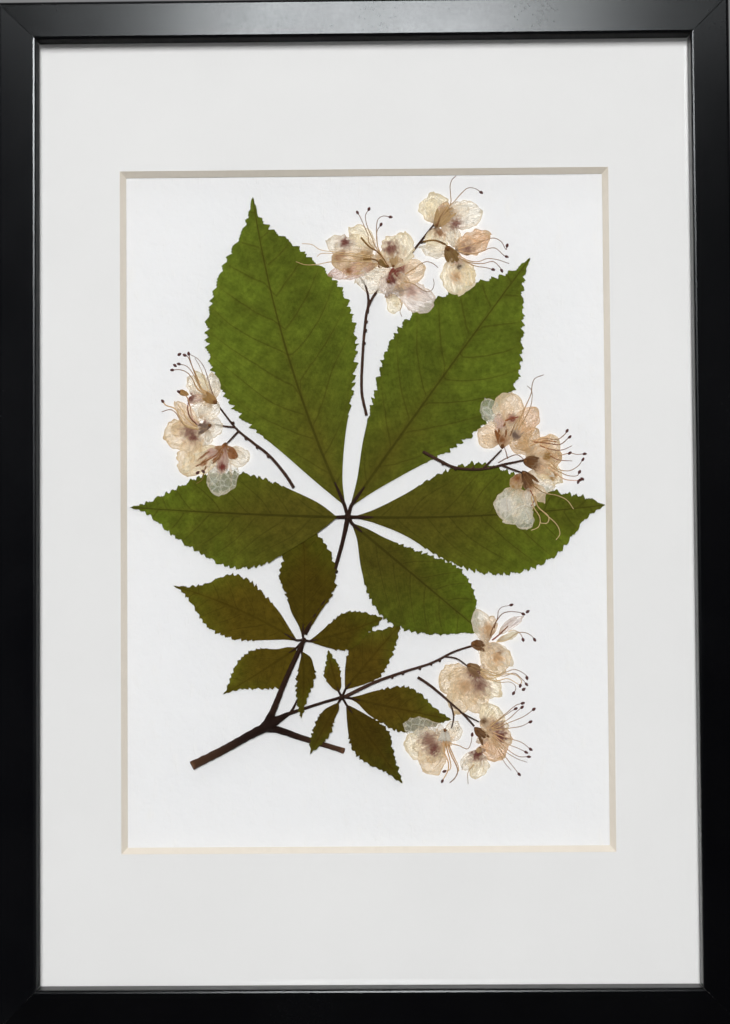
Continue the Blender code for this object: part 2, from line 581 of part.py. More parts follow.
def petal_outline(base, tip, width):
    """A claw that widens into a broad round blade."""
    base, tip = Vector(base), Vector(tip)
    along = tip - base
    aside = Vector((-along.y, along.x)).normalized() * width / 2
    margin = ((0.0, 0.14), (0.35, 0.62), (0.62, 1.0), (0.85, 0.78))
    return ([base + along * share + aside * wide for share, wide in margin] + [tip]
            + [base + along * share - aside * wide for share, wide in margin[::-1]])


def stamen_solid(base, tip, low):
    """A flat filament that bows a little on its way to its tip."""
    base, tip = Vector(base), Vector(tip)
    along = tip - base
    aside = Vector((-along.y, along.x)) * 0.08
    rings = []
    for share, half in ((0.0, 0.3), (0.5, 0.25), (1.0, 0.45)):
        middle = base + along * share + aside * 4 * share * (1 - share)
        reach = aside.normalized() * half
        rings.append([on_paper(middle - reach, low), on_paper(middle + reach, low),
                      on_paper(middle + reach, low + 0.12), on_paper(middle - reach, low + 0.12)])
    return ring_solid(rings)


def flowers():
    for name, flower in FLOWERS.items():
        low = FLOWER_LIFTS[flower["layer"]]
        middle = Vector(flower["at"])
        solids = [plate([middle + Vector((math.cos(t), math.sin(t))) * 1.9
                         for t in (math.pi * i / 4 for i in range(8))], low - 0.06, low + 0.36)]
        for place, (x, z, width) in enumerate(flower["petals"]):
            step = 0.035 * place
            solids.append(plate(petal_outline(middle, (x, z), width), low + step,
                                low + step + PETAL_THICK))
        for place, point in enumerate(flower["stamens"]):
            solids.append(stamen_solid(middle, point, low + 0.05 + 0.025 * place))
        fused_object(name, solids, "petal")


def build():
    for old in list(bpy.data.objects):
        bpy.data.objects.remove(old)
    rails = moulding()
    sheet("glazing", GLASS_FRONT, GLASS_BACK, "glazing")
    window_mat()
    sheet("mount_sheet", PAPER_FRONT, PAPER_BACK, "paper")
    sheet("back_board", BOARD_FRONT, BOARD_BACK, "hardboard")
    retaining_tabs(rails)
    hanger(rails["top"])
    bumpers()
    leaflets()
    stems()
    flowers()


build()
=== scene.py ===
"""Looks of the pressed flower frame: finishes for its moulding, mat, paper, glass and fittings,
and the pressed horse-chestnut branch modelled leaf by leaf and petal by petal.

Metres, X to the right, Z up, and the picture faces -Y. Leaves and stems are placed in
millimetres (across, up) from the middle of the paper. Flowers, and the knobs and hubs of the
stems, are placed in pixels of the 730 x 1024 photograph, which on_sheet() lays on the paper
along the camera's own lines of sight.
"""

import math

import bpy
import numpy as np
from mathutils import Matrix, Vector


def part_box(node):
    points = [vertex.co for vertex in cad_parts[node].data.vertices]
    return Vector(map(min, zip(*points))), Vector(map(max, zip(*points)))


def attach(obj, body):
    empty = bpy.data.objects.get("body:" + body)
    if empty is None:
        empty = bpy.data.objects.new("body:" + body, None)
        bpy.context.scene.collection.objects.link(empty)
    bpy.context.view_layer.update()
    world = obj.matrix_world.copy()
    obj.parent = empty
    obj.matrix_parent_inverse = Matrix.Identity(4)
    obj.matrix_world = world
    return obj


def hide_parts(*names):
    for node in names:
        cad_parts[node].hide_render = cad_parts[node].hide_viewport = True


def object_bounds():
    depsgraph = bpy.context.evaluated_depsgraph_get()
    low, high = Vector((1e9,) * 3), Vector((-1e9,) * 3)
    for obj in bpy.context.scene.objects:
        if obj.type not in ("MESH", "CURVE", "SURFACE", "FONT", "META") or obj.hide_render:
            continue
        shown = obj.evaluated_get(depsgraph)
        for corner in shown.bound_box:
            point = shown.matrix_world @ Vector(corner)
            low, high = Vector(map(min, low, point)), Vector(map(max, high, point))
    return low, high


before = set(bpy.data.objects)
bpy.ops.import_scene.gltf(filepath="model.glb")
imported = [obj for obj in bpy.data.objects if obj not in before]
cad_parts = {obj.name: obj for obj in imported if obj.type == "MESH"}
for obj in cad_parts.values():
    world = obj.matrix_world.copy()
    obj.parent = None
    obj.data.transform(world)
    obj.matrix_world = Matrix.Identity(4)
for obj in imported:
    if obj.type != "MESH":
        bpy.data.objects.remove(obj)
CAD_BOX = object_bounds()

MM = 0.001
PIXEL = 0.43                 # millimetres on the paper that one pixel of the photograph shows
PAPER_LOW, PAPER_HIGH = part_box("mount_sheet")
PAPER_FRONT = PAPER_LOW.y
CENTRE_Z = (PAPER_LOW.z + PAPER_HIGH.z) / 2
MAT_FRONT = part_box("window_mat")[0].y
FRAME_BOTTOM = Vector(CAD_BOX[0]).z
FLOOR_GAP = 0.0004           # the floor lies this far under the frame's lower edge

# The photograph's camera: right of the mat's middle, in front of its face and below its middle
PHOTO_WIDTH, PHOTO_HEIGHT = 730, 1024
CAMERA_PLACE = Vector((0.00524, MAT_FRONT - 0.62013, CENTRE_Z - 0.01863))
CAMERA_ROLL, CAMERA_YAW, CAMERA_PITCH = -0.406, 0.537, 1.593     # degrees
SENSOR = 36.0                # its film's height and its focal length in millimetres
LENS = 49.95
CAMERA_TURN = (Matrix.Rotation(math.radians(90), 3, "X")
               @ Matrix.Rotation(math.radians(CAMERA_ROLL), 3, "Z")
               @ Matrix.Rotation(math.radians(CAMERA_YAW), 3, "Y")
               @ Matrix.Rotation(math.radians(CAMERA_PITCH), 3, "X"))

WINDOW_WIDTH, WINDOW_HEIGHT = 0.2145, 0.2985     # the mat's opening at its front face
SIGHT_WIDTH, SIGHT_HEIGHT = 0.2845, 0.4105       # the moulding's opening
WALL_EDGE = 0.0002           # how far outside the opening the lip's inner wall still counts
RIB_UNIT = 50.0              # millimetres from the midrib that 1 in the map "veins" stands for


def tint(red, green, blue):
    """A colour from 0 to 255 as the eye sees it, in the linear values that shaders use."""
    values = []
    for level in (red, green, blue):
        share = level / 255
        values.append(share / 12.92 if share <= 0.04045 else ((share + 0.055) / 1.055) ** 2.4)
    return (*values, 1.0)


# ---------------------------------------------------------------- shader maths

class Socket:
    """An output in a material, so that shader maths reads as plain sums."""

    def __init__(self, finish, output):
        self.finish = finish
        self.output = output

    def maths(self, operation, *values):
        return self.finish.add("Math", {"operation": operation}, dict(enumerate(values)))

    def __add__(self, other):
        return self.maths("ADD", self, other)

    def __sub__(self, other):
        return self.maths("SUBTRACT", self, other)

    def __rsub__(self, other):
        return self.maths("SUBTRACT", other, self)

    def __mul__(self, other):
        return self.maths("MULTIPLY", self, other)

    def __truediv__(self, other):
        return self.maths("DIVIDE", self, other)

    def __abs__(self):
        return self.maths("ABSOLUTE", self)

    __radd__ = __add__
    __rmul__ = __mul__

    def near_whole(self):
        """How far the value is from the nearest whole number."""
        return self.maths("PINGPONG", self, 0.5)

    def fade(self, low, high, start=0.0, end=1.0):
        """A smooth step from start at low to end at high."""
        return self.finish.add("MapRange", {"interpolation_type": "SMOOTHSTEP"},
                               {"Value": self, "From Min": low, "From Max": high,
                                "To Min": start, "To Max": end})


class Finish:
    """A material under construction, around one Principled shader."""

    def __init__(self, name):
        self.material = bpy.data.materials.new(name)
        self.material.use_nodes = True
        self.tree = self.material.node_tree
        self.shader = self.tree.nodes["Principled BSDF"]

    def add(self, kind, settings=None, inputs=None, output=0):
        """Any node: its type, its settings, the values or links of its sockets, its output."""
        node = self.tree.nodes.new("ShaderNode" + kind)
        for name, value in (settings or {}).items():
            setattr(node, name, value)
        for name, value in (inputs or {}).items():
            self.fill(node.inputs[name], value)
        return Socket(self, node.outputs[output])

    def fill(self, socket, value):
        if isinstance(value, Socket):
            self.tree.links.new(value.output, socket)
        else:
            socket.default_value = value

    def place(self):
        return self.add("TexCoord", output="Object")

    def stretched(self, where, across, deep, up):
        """A pattern's place stretched: a smaller number draws it out along that direction."""
        return self.add("VectorMath", {"operation": "MULTIPLY"}, {0: where, 1: (across, deep, up)})

    def part(self, where, axis):
        return self.add("SeparateXYZ", {}, {0: where}, axis)

    def noise(self, where, scale, detail=4.0, rough=0.55, distort=0.0):
        return self.add("TexNoise", {}, {"Vector": where, "Scale": scale, "Detail": detail,
                                         "Roughness": rough, "Distortion": distort})

    def cells(self, where, scale, feature="F1", output="Distance"):
        return self.add("TexVoronoi", {"feature": feature}, {"Vector": where, "Scale": scale},
                        output)

    def attribute(self, name, output="Fac"):
        return self.add("Attribute", {"attribute_name": name}, output=output)

    def map(self, name):
        return self.add("UVMap", {"uv_map": name})

    def blend(self, share, first, second):
        return self.add("Mix", {"data_type": "RGBA"}, {0: share, 6: first, 7: second}, 2)

    def scale(self, colour, by):
        """A colour made lighter or darker by a number."""
        if isinstance(colour, tuple):
            return (*(by * level for level in colour[:3]), 1.0)
        return self.add("VectorMath", {"operation": "SCALE"}, {0: colour, "Scale": by})

    def deepen(self, share, colour, by):
        """A colour multiplied by a number where the share is 1."""
        return self.blend(share, colour, self.scale(colour, by))

    def inside(self, where, width, height):
        """1 within a rectangle around the middle of the picture, else 0."""
        edge = 0.01 * MM
        across, up = abs(self.part(where, "X")), abs(self.part(where, "Z") - CENTRE_Z)
        return (across.fade(width / 2 - edge, width / 2 + edge, 1, 0)
                * up.fade(height / 2 - edge, height / 2 + edge, 1, 0))

    def relief(self, height, depth):
        """Bumps this many metres deep, where height goes from 0 to 1."""
        return self.add("Bump", {}, {"Distance": depth, "Height": height})

    def surface(self, sockets):
        for name, value in sockets.items():
            self.fill(self.shader.inputs[name], value)
        return self.material


# ---------------------------------------------------------------- finishes of the frame

def black_lacquer(name, wall_rough):
    """Satin black paint over wood with a fine orange peel, rougher on the lip's inner wall."""
    finish = Finish(name)
    where = finish.place()
    inner = finish.inside(where, SIGHT_WIDTH + 2 * WALL_EDGE, SIGHT_HEIGHT + 2 * WALL_EDGE)
    cloud = finish.noise(where, 18, 3)
    peel = finish.noise(where, 700, 2)
    return finish.surface({
        "Base Color": finish.blend(cloud, tint(1, 1, 2), tint(5, 5, 6)),
        "Roughness": cloud * 0.1 + peel * 0.06 + 0.17 + inner * wall_rough,
        "Specular IOR Level": 0.5,
        "Normal": finish.relief(peel + cloud * 0.4, 0.000004),
    })


def mat_board():
    """White mat board with a smooth face; the cut bevel shows its cream core."""
    finish = Finish("mat_board")
    where = finish.place()
    core = finish.inside(where, WINDOW_WIDTH, WINDOW_HEIGHT)
    cloud = finish.noise(where, 22, 4)
    fibre = finish.noise(finish.stretched(where, 1, 1, 0.55), 520, 4, 0.6)
    face = finish.blend(cloud, tint(239, 239, 238), tint(245, 245, 244))
    bevel = finish.blend(fibre, tint(226, 217, 203), tint(240, 232, 219))
    return finish.surface({
        "Base Color": finish.blend(core, face, bevel),
        "Roughness": fibre * 0.15 + 0.72,
        "Specular IOR Level": 0.25,
        "Normal": finish.relief(fibre + cloud * 0.5, 0.00004),
    })


def mount_paper():
    """Heavy white paper with a soft hand-made tooth and a few pale fibres."""
    finish = Finish("mount_paper")
    where = finish.place()
    cloud = finish.noise(where, 34, 5, 0.6, 0.4)
    lump = finish.noise(where, 150, 3)
    tooth = finish.noise(where, 330, 5, 0.6)
    grain = finish.noise(where, 1300, 3)
    hair = finish.noise(finish.stretched(where, 1, 1, 0.22), 420, 2, 0.5, 2.0).fade(0.62, 0.7)
    face = finish.blend(cloud, tint(247, 248, 249), tint(252, 252, 252))
    face = finish.blend(tooth.fade(0.35, 0.75) * 0.25, face, tint(240, 241, 243))
    return finish.surface({
        "Base Color": finish.blend(hair * 0.25, face, tint(250, 248, 240)),
        "Roughness": grain * 0.1 + 0.8,
        "Specular IOR Level": 0.2,
        "Normal": finish.relief(tooth * 0.8 + lump * 1.2 + cloud * 1.5 + grain * 0.2 + hair * 0.2,
                                0.00022),
    })


def hardboard():
    """Brown pressed fibre board, smooth with darker specks."""
    finish = Finish("hardboard")
    where = finish.place()
    cloud = finish.noise(where, 26, 5, 0.6)
    fibre = finish.noise(finish.stretched(where, 1, 1, 0.4), 700, 5, 0.65, 1.2)
    specks = finish.cells(where, 380).fade(0.12, 0.3, 1, 0)
    board = finish.blend(cloud, tint(112, 80, 54), tint(136, 100, 68))
    board = finish.blend(fibre.fade(0.35, 0.7) * 0.6, board, tint(92, 63, 42))
    return finish.surface({
        "Base Color": finish.blend(specks * 0.45, board, tint(66, 44, 30)),
        "Roughness": fibre * 0.2 + 0.55,
        "Specular IOR Level": 0.3,
        "Normal": finish.relief(fibre + specks * -0.4, 0.00005),
    })


def zinc_plate():
    """Zinc-plated sheet steel: rolling lines, clouded crystals and a little tarnish."""
    finish = Finish("zinc_plate")
    where = finish.place()
    rolling = finish.noise(finish.stretched(where, 0.04, 1, 1), 5200, 2)
    crystals = finish.cells(where, 620, output="Color")
    tarnish = finish.noise(where, 240, 5, 0.6).fade(0.45, 0.75)
    metal = finish.blend(finish.part(crystals, "X") * 0.5, tint(196, 198, 202),
                         tint(172, 175, 180))
    return finish.surface({
        "Base Color": finish.blend(tarnish * 0.5, metal, tint(140, 138, 132)),
        "Metallic": 1.0,
        "Roughness": rolling * 0.12 + tarnish * 0.2 + 0.24,
        "Normal": finish.relief(rolling, 0.00001),
    })


def black_felt():
    """Black felt: a soft matted nap."""
    finish = Finish("black_felt")
    where = finish.place()
    nap = finish.noise(where, 2600, 4, 0.7, 1.5)
    return finish.surface({
        "Base Color": finish.blend(nap, tint(24, 24, 25), tint(62, 61, 60)),
        "Roughness": nap * 0.1 + 0.88,
        "Sheen Weight": 0.4,
        "Normal": finish.relief(nap, 0.00016),
    })


def clear_glass():
    """Clear picture glass, seen straight through."""
    finish = Finish("clear_glass")
    return finish.surface({
        "Base Color": (0.995, 0.995, 0.995, 1.0),
        "Roughness": 0.0,
        "IOR": 1.5,
        "Transmission Weight": 1.0,
    })


def dress(node, material):
    """Give a carried-over node its finish."""
    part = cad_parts[node]
    part.data.materials.clear()
    part.data.materials.append(material)


def dress_frame():
    glossy = black_lacquer("black_lacquer", 0.05)
    dull = black_lacquer("black_lacquer_dull_wall", 0.5)
    for side, lacquer in (("top", dull), ("left", dull), ("right", glossy), ("bottom", glossy)):
        dress(f"rail_{side}", lacquer)
    dress("window_mat", mat_board())
    dress("mount_sheet", mount_paper())
    dress("back_board", hardboard())
    dress("glazing", clear_glass())
    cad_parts["glazing"].visible_shadow = False
    zinc = zinc_plate()
    felt = black_felt()
    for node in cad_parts:
        if node.startswith(("hanger", "retaining_tab")):
            dress(node, zinc)
        elif node.startswith("bumper"):
            dress(node, felt)


# ---------------------------------------------------------------- finishes of the plant

def leaf_finish(name, green, olive, brown, brown_from, brown_to, rib):
    """A pressed blade: veins from its own maps, browned from the base towards the tip.

    The map "blade" runs from base to tip and from one margin to the other. The map "veins"
    counts side veins, so that every whole number is one, and gives the distance from the
    midrib. The attribute "shade" darkens a leaflet, brown_from and brown_to are the shares of
    its length between which the brown ends, and rib is how clearly its midrib shows.
    """
    finish = Finish(name)
    where = finish.place()
    blade = finish.map("blade")
    along = finish.part(blade, "X")
    across = abs(finish.part(blade, "Y") - 0.5) * 2
    veins = finish.map("veins")
    count = finish.part(veins, "X")
    beside = finish.part(veins, "Y") * RIB_UNIT
    patches = finish.noise(where, 42, 5, 0.6, 0.5)
    mottle = finish.noise(where, 260, 4, 0.65)
    net = finish.cells(where, 640, "DISTANCE_TO_EDGE").fade(0.0, 0.12, 1, 0)
    wander = finish.noise(where, 75, 2) * 0.16
    side_vein = (count + wander).near_whole()
    side_line = side_vein.fade(0.01, 0.045, 1, 0) * across.fade(0.6, 0.95, 1, 0.1)
    side_glow = side_vein.fade(0.02, 0.24, 1, 0)
    fine_line = ((count + wander) * 5).near_whole().fade(0.05, 0.3, 1, 0)
    off_rib = beside / (1.3 - along)
    midrib = off_rib.fade(0.3, 0.7, 1, 0)
    beside_rib = off_rib.fade(0.4, 2.6, 1, 0)
    browned = (along + (patches - 0.5) * 0.55 + across * 0.22).fade(brown_from, brown_to, 1, 0)
    colour = finish.blend((patches * 1.4 - 0.2).fade(0.3, 0.7), green, olive)
    colour = finish.blend(browned, colour, brown)
    colour = finish.scale(colour, finish.attribute("shade"))
    colour = finish.deepen(mottle.fade(0.35, 0.7) * 0.6, colour, 0.6)
    colour = finish.deepen(finish.noise(where, 620, 3, 0.7).fade(0.4, 0.65) * 0.5, colour, 0.62)
    colour = finish.deepen(finish.noise(where, 150, 3).fade(0.45, 0.75) * 0.6, colour, 1.45)
    colour = finish.deepen(fine_line * 0.14 + net * 0.12, colour, 0.6)
    colour = finish.blend(side_glow * 0.14 + beside_rib * 0.3, colour, finish.scale(brown, 0.8))
    colour = finish.blend(side_line * 0.36, colour, finish.scale(brown, 0.42))
    colour = finish.blend(midrib * rib, colour, finish.scale(brown, 0.4))
    chosen = finish.part(finish.cells(where, 95, output="Color"), "X").fade(0.955, 0.965)
    fleck = finish.cells(finish.stretched(where, 0.45, 1, 1), 95).fade(0.06, 0.13, 1, 0)
    colour = finish.blend(fleck * chosen * 0.65, colour, tint(158, 160, 104))
    return finish.surface({
        "Base Color": colour,
        "Roughness": mottle * 0.2 + 0.6 + midrib * 0.1,
        "Specular IOR Level": 0.12,
        "Normal": finish.relief(mottle * 0.25 + net * 0.12 - side_line * 0.5 - fine_line * 0.15,
                                0.00012),
    })


def bark(name, dark, light, ends):
    """Dry stem skin with wrinkles along it. The attribute "cut" is 1 on a bare cut end and
    falls off along the paler skin next to it."""
    finish = Finish(name)
    where = finish.place()
    course = finish.map("blade")
    streak = finish.noise(finish.stretched(course, 6, 26, 1), 3, 4, 0.6)
    speck = finish.noise(where, 420, 4, 0.6)
    colour = finish.blend(streak.fade(0.3, 0.7), dark, light)
    colour = finish.blend(speck.fade(0.58, 0.72) * 0.5, colour, finish.scale(light, 1.5))
    return finish.surface({
        "Base Color": finish.blend(finish.attribute("cut"), colour, ends),
        "Roughness": speck * 0.25 + 0.5,
        "Specular IOR Level": 0.3,
        "Normal": finish.relief(streak + speck * 0.4, 0.00012),
    })


def petal_film():
    """A thin dried petal: see-through, with fibres that fan out from its claw and a tan rim.

    The attribute "tone" holds its colour, "stain" how dark it is stained, "sheer" how
    see-through it is and "edge" how near the rim is.
    """
    finish = Finish("petal_film")
    where = finish.place()
    blade = finish.map("blade")
    vein = finish.noise(finish.stretched(blade, 1.6, 11, 1), 1, 3, 0.6, 0.5).fade(0.42, 0.62)
    fibre = finish.noise(finish.stretched(blade, 4.0, 27, 1), 1, 3, 0.6, 0.4).fade(0.35, 0.7)
    bent = finish.add("VectorMath", {"operation": "MULTIPLY_ADD"}, {
        0: finish.add("TexNoise", {}, {"Vector": where, "Scale": 190, "Detail": 2.0}, 1),
        1: (0.003, 0, 0.003), 2: where})
    crease = finish.cells(finish.stretched(bent, 1, 0, 1), 300, "DISTANCE_TO_EDGE")
    crease = crease.fade(0.0, 0.09, 1, 0)
    cloud = finish.noise(where, 260, 4, 0.6).fade(0.35, 0.7)
    tone = finish.attribute("tone", "Color")
    sheer = finish.attribute("sheer")
    rim = finish.attribute("edge").fade(0.86, 0.99)
    stain = finish.attribute("stain")
    colour = finish.blend(cloud * 0.4 * (1 - stain), tone, tint(244, 238, 224))
    colour = finish.blend(vein * 0.45, colour, finish.scale(tone, 0.6))
    colour = finish.blend(fibre * 0.3 + crease * 0.1, colour, finish.scale(tone, 0.72))
    colour = finish.blend(rim * 0.4, colour, tint(190, 168, 132))
    cover = 0.6 - sheer * 0.5 + vein * 0.12 + fibre * 0.12 + rim * 0.16
    cover = cover + stain * 0.35 + crease * (sheer * sheer * 0.3 + 0.03)
    return finish.surface({
        "Base Color": colour,
        "Alpha": cover.fade(0.0, 1.0, 0.06, 1.0),
        "Roughness": fibre * 0.2 + 0.5,
        "Specular IOR Level": 0.2,
        "Normal": finish.relief(vein * 0.5 + fibre * 0.6 + crease * 0.15 + cloud, 0.00012),
    })


def thread_finish():
    """Stamens, anthers and the feet of the flowers, in the colours of the attribute "tone"."""
    finish = Finish("dried_thread")
    where = finish.place()
    speck = finish.noise(where, 900, 3, 0.6)
    tone = finish.attribute("tone", "Color")
    return finish.surface({
        "Base Color": finish.deepen(speck.fade(0.35, 0.75) * 0.5, tone, 0.62),
        "Roughness": speck * 0.2 + 0.5,
        "Specular IOR Level": 0.3,
        "Normal": finish.relief(speck, 0.00005),
    })


# ---------------------------------------------------------------- shaping

def smooth_line(places, values, where):
    """The values at many places of a smooth line through given ones."""
    places = np.array(places, float)
    values = np.array(values, float)
    slopes = np.empty(len(values))
    slopes[1:-1] = (values[2:] - values[:-2]) / (places[2:] - places[:-2])
    slopes[0] = (values[1] - values[0]) / (places[1] - places[0])
    slopes[-1] = (values[-1] - values[-2]) / (places[-1] - places[-2])
    span = np.clip(np.searchsorted(places, where, side="right") - 1, 0, len(places) - 2)
    width = places[span + 1] - places[span]
    t = (where - places[span]) / width
    return ((2 * t**3 - 3 * t**2 + 1) * values[span]
            + (t**3 - 2 * t**2 + t) * width * slopes[span]
            + (3 * t**2 - 2 * t**3) * values[span + 1]
            + (t**3 - t**2) * width * slopes[span + 1])


def course_length(points):
    return np.hypot(*np.diff(np.array(points, float), axis=0).T).sum()


def smooth_course(points, share):
    """The place and the direction at many shares of a smooth line through (x, y) points."""
    points = np.array(points, float)
    steps = np.hypot(*np.diff(points, axis=0).T)
    places = np.concatenate(([0.0], np.cumsum(steps))) / steps.sum()
    step = 0.004
    ends = [np.stack([smooth_line(places, points[:, axis], np.clip(share + shift, 0, 1))
                      for axis in (0, 1)], 1) for shift in (0, -step, step)]
    ahead = ends[2] - ends[1]
    ahead /= np.maximum(np.hypot(ahead[:, 0], ahead[:, 1]), 1e-9)[:, None]
    return ends[0], ahead


def on_sheet(pixel, height=1.0):
    """Where the camera's line of sight through a pixel of the photograph meets the level at
    this height above the paper, in millimetres from the paper's middle."""
    sight = CAMERA_TURN @ Vector((pixel[0] - PHOTO_WIDTH / 2, PHOTO_HEIGHT / 2 - pixel[1],
                                  -LENS / SENSOR * PHOTO_HEIGHT))
    met = CAMERA_PLACE + sight * ((PAPER_FRONT - height * MM - CAMERA_PLACE.y) / sight.y)
    return np.array((met.x, met.z - CENTRE_Z)) / MM


def ripple(x, y, size, seed):
    """Soft irregular waves about this size, between about -1 and 1."""
    rng = np.random.default_rng(seed)
    total = 0
    for _ in range(5):
        turn = rng.uniform(0, math.tau)
        length = size * rng.uniform(0.6, 1.6)
        total = total + np.sin((x * math.cos(turn) + y * math.sin(turn)) * math.tau / length
                               + rng.uniform(0, math.tau))
    return total / 3


def only(made):
    bpy.ops.object.select_all(action="DESELECT")
    made.select_set(True)
    bpy.context.view_layer.objects.active = made


def vertex_places(made):
    """Where every vertex is, one row of three numbers each."""
    co = np.empty(len(made.data.vertices) * 3)
    made.data.vertices.foreach_get("co", co)
    return co.reshape(-1, 3)


def on_paper(made):
    """How far every vertex is across and up from the middle of the paper, in millimetres."""
    co = vertex_places(made)
    return co[:, 0] / MM, (co[:, 2] - CENTRE_Z) / MM


def grid(name, rows, columns):
    """A flat grid, its vertices' shares along it (0 to 1) and across it (-1 to 1)."""
    bpy.ops.object.select_all(action="DESELECT")
    bpy.ops.mesh.primitive_grid_add(x_subdivisions=rows, y_subdivisions=columns, size=1,
                                    calc_uvs=False)
    made = bpy.context.object
    made.name = made.data.name = name
    co = vertex_places(made)
    return made, co[:, 0] + 0.5, co[:, 1] * 2


def set_places(made, x, z, height):
    """Put every vertex at its place on the paper in millimetres, at its height above it."""
    co = np.stack([x * MM, PAPER_FRONT - height * MM, CENTRE_Z + z * MM], 1)
    made.data.vertices.foreach_set("co", co.ravel())
    made.data.update()


def set_map(made, name, u, v):
    """A UV map from one pair of values for every vertex."""
    corners = np.empty(len(made.data.loops), int)
    made.data.loops.foreach_get("vertex_index", corners)
    layer = made.data.uv_layers.new(name=name)
    layer.uv.foreach_set("vector", np.stack([u[corners], v[corners]], 1).ravel())


def set_value(made, name, values):
    layer = made.data.attributes.new(name, "FLOAT", "POINT")
    layer.data.foreach_set("value", np.broadcast_to(values, len(made.data.vertices)).copy())


def set_colour(made, name, colours):
    layer = made.data.attributes.new(name, "FLOAT_COLOR", "POINT")
    layer.data.foreach_set("color", np.broadcast_to(colours, (len(made.data.vertices), 4)).ravel())


def weld(made, distance):
    """Merge points that are less than this many millimetres apart, and turn the faces one way."""
    only(made)
    bpy.ops.object.mode_set(mode="EDIT")
    bpy.ops.mesh.select_all(action="SELECT")
    bpy.ops.mesh.remove_doubles(threshold=distance * MM)
    bpy.ops.mesh.normals_make_consistent(inside=False)
    bpy.ops.object.mode_set(mode="OBJECT")


def cap(made):
    """Close the open ends of a tube and turn its faces outwards."""
    only(made)
    bpy.ops.object.mode_set(mode="EDIT")
    bpy.ops.mesh.select_all(action="DESELECT")
    bpy.ops.mesh.select_mode(type="EDGE")
    bpy.ops.mesh.select_non_manifold()
    bpy.ops.mesh.fill_holes(sides=0)
    bpy.ops.mesh.select_all(action="SELECT")
    bpy.ops.mesh.normals_make_consistent(inside=False)
    bpy.ops.object.mode_set(mode="OBJECT")


def thicken(made, thickness):
    """Give a sheet this thickness in millimetres, half on either side."""
    only(made)
    wall = made.modifiers.new("wall", "SOLIDIFY")
    wall.thickness = thickness * MM
    wall.offset = 0.0
    bpy.ops.object.modifier_apply(modifier=wall.name)


def smooth(made, angle=50):
    """Shade smooth across edges that bend by less than this many degrees."""
    only(made)
    bpy.ops.object.shade_smooth_by_angle(angle=math.radians(angle))


def join(name, parts):
    """Several pieces as one object."""
    only(parts[0])
    for part in parts:
        part.select_set(True)
    if len(parts) > 1:
        bpy.ops.object.join()
    made = bpy.context.object
    made.name = made.data.name = name
    return made


def stand_for(made, node, slot):
    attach(made, "root")
    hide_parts(node)


def tube(name, points, widths, low, thick, rings, sides, wrinkle, seed, slant=0.0):
    """A flattened closed tube along a smooth course: widths are (share, width) pairs, low is
    the height of its back at both ends, thick the share of its width that it is thick, and
    wrinkle how uneven its skin is. slant pushes the front of both ends inwards by this many
    millimetres, so that the cut faces show."""
    made, along, across = grid(name, rings, sides)
    turn = (across + 1) * math.pi
    centre, ahead = smooth_course(points, along)
    out = along * course_length(points)
    wave = (ripple(out, np.sin(turn) * 1.2, 3.2, seed)
            + 0.6 * ripple(out * 0.4, np.cos(turn) * 1.2, 1.4, seed + 1))
    half = smooth_line(*zip(*widths), along) / 2 * (1 + wrinkle * wave)
    tall = half * thick
    front = (1 + np.cos(turn)) / 2
    end_in = slant * front * (np.clip(1 - along * rings / 1.5, 0, 1)
                              - np.clip(1 - (1 - along) * rings / 1.5, 0, 1))
    x = centre[:, 0] - ahead[:, 1] * half * np.sin(turn) + ahead[:, 0] * end_in
    z = centre[:, 1] + ahead[:, 0] * half * np.sin(turn) + ahead[:, 1] * end_in
    height = np.interp(along, (0, 1), low) + tall * (1 + np.cos(turn))
    set_places(made, x, z, height)
    set_map(made, "blade", along * len(points), across)
    weld(made, 0.002)
    cap(made)
    return made


# ---------------------------------------------------------------- leaves

STATIONS = (0.0, 0.08, 0.2, 0.35, 0.5, 0.65, 0.8, 0.92, 1.0)
TOOTHLESS = 0.24             # share of the margin next to the base that has no teeth
BLADE_BASE = 0.35            # millimetres of blade on either side of the midrib at its base
BLADE_THICK = 0.14
BLADE_ROW = 0.42             # millimetres between the rows of a blade's grid
LONG_BLADE = 80              # from this length on a blade has more columns
COLUMNS_LONG, COLUMNS_SHORT = 30, 20
TOOTH_SIZE = 0.75            # how far the teeth of the smallest blade stand out
TOOTH_GROWTH = 0.0085        # and how much further for every millimetre of a blade's length
VEIN_OFFSET = 0.43           # share of a gap by which the right side's veins are shifted

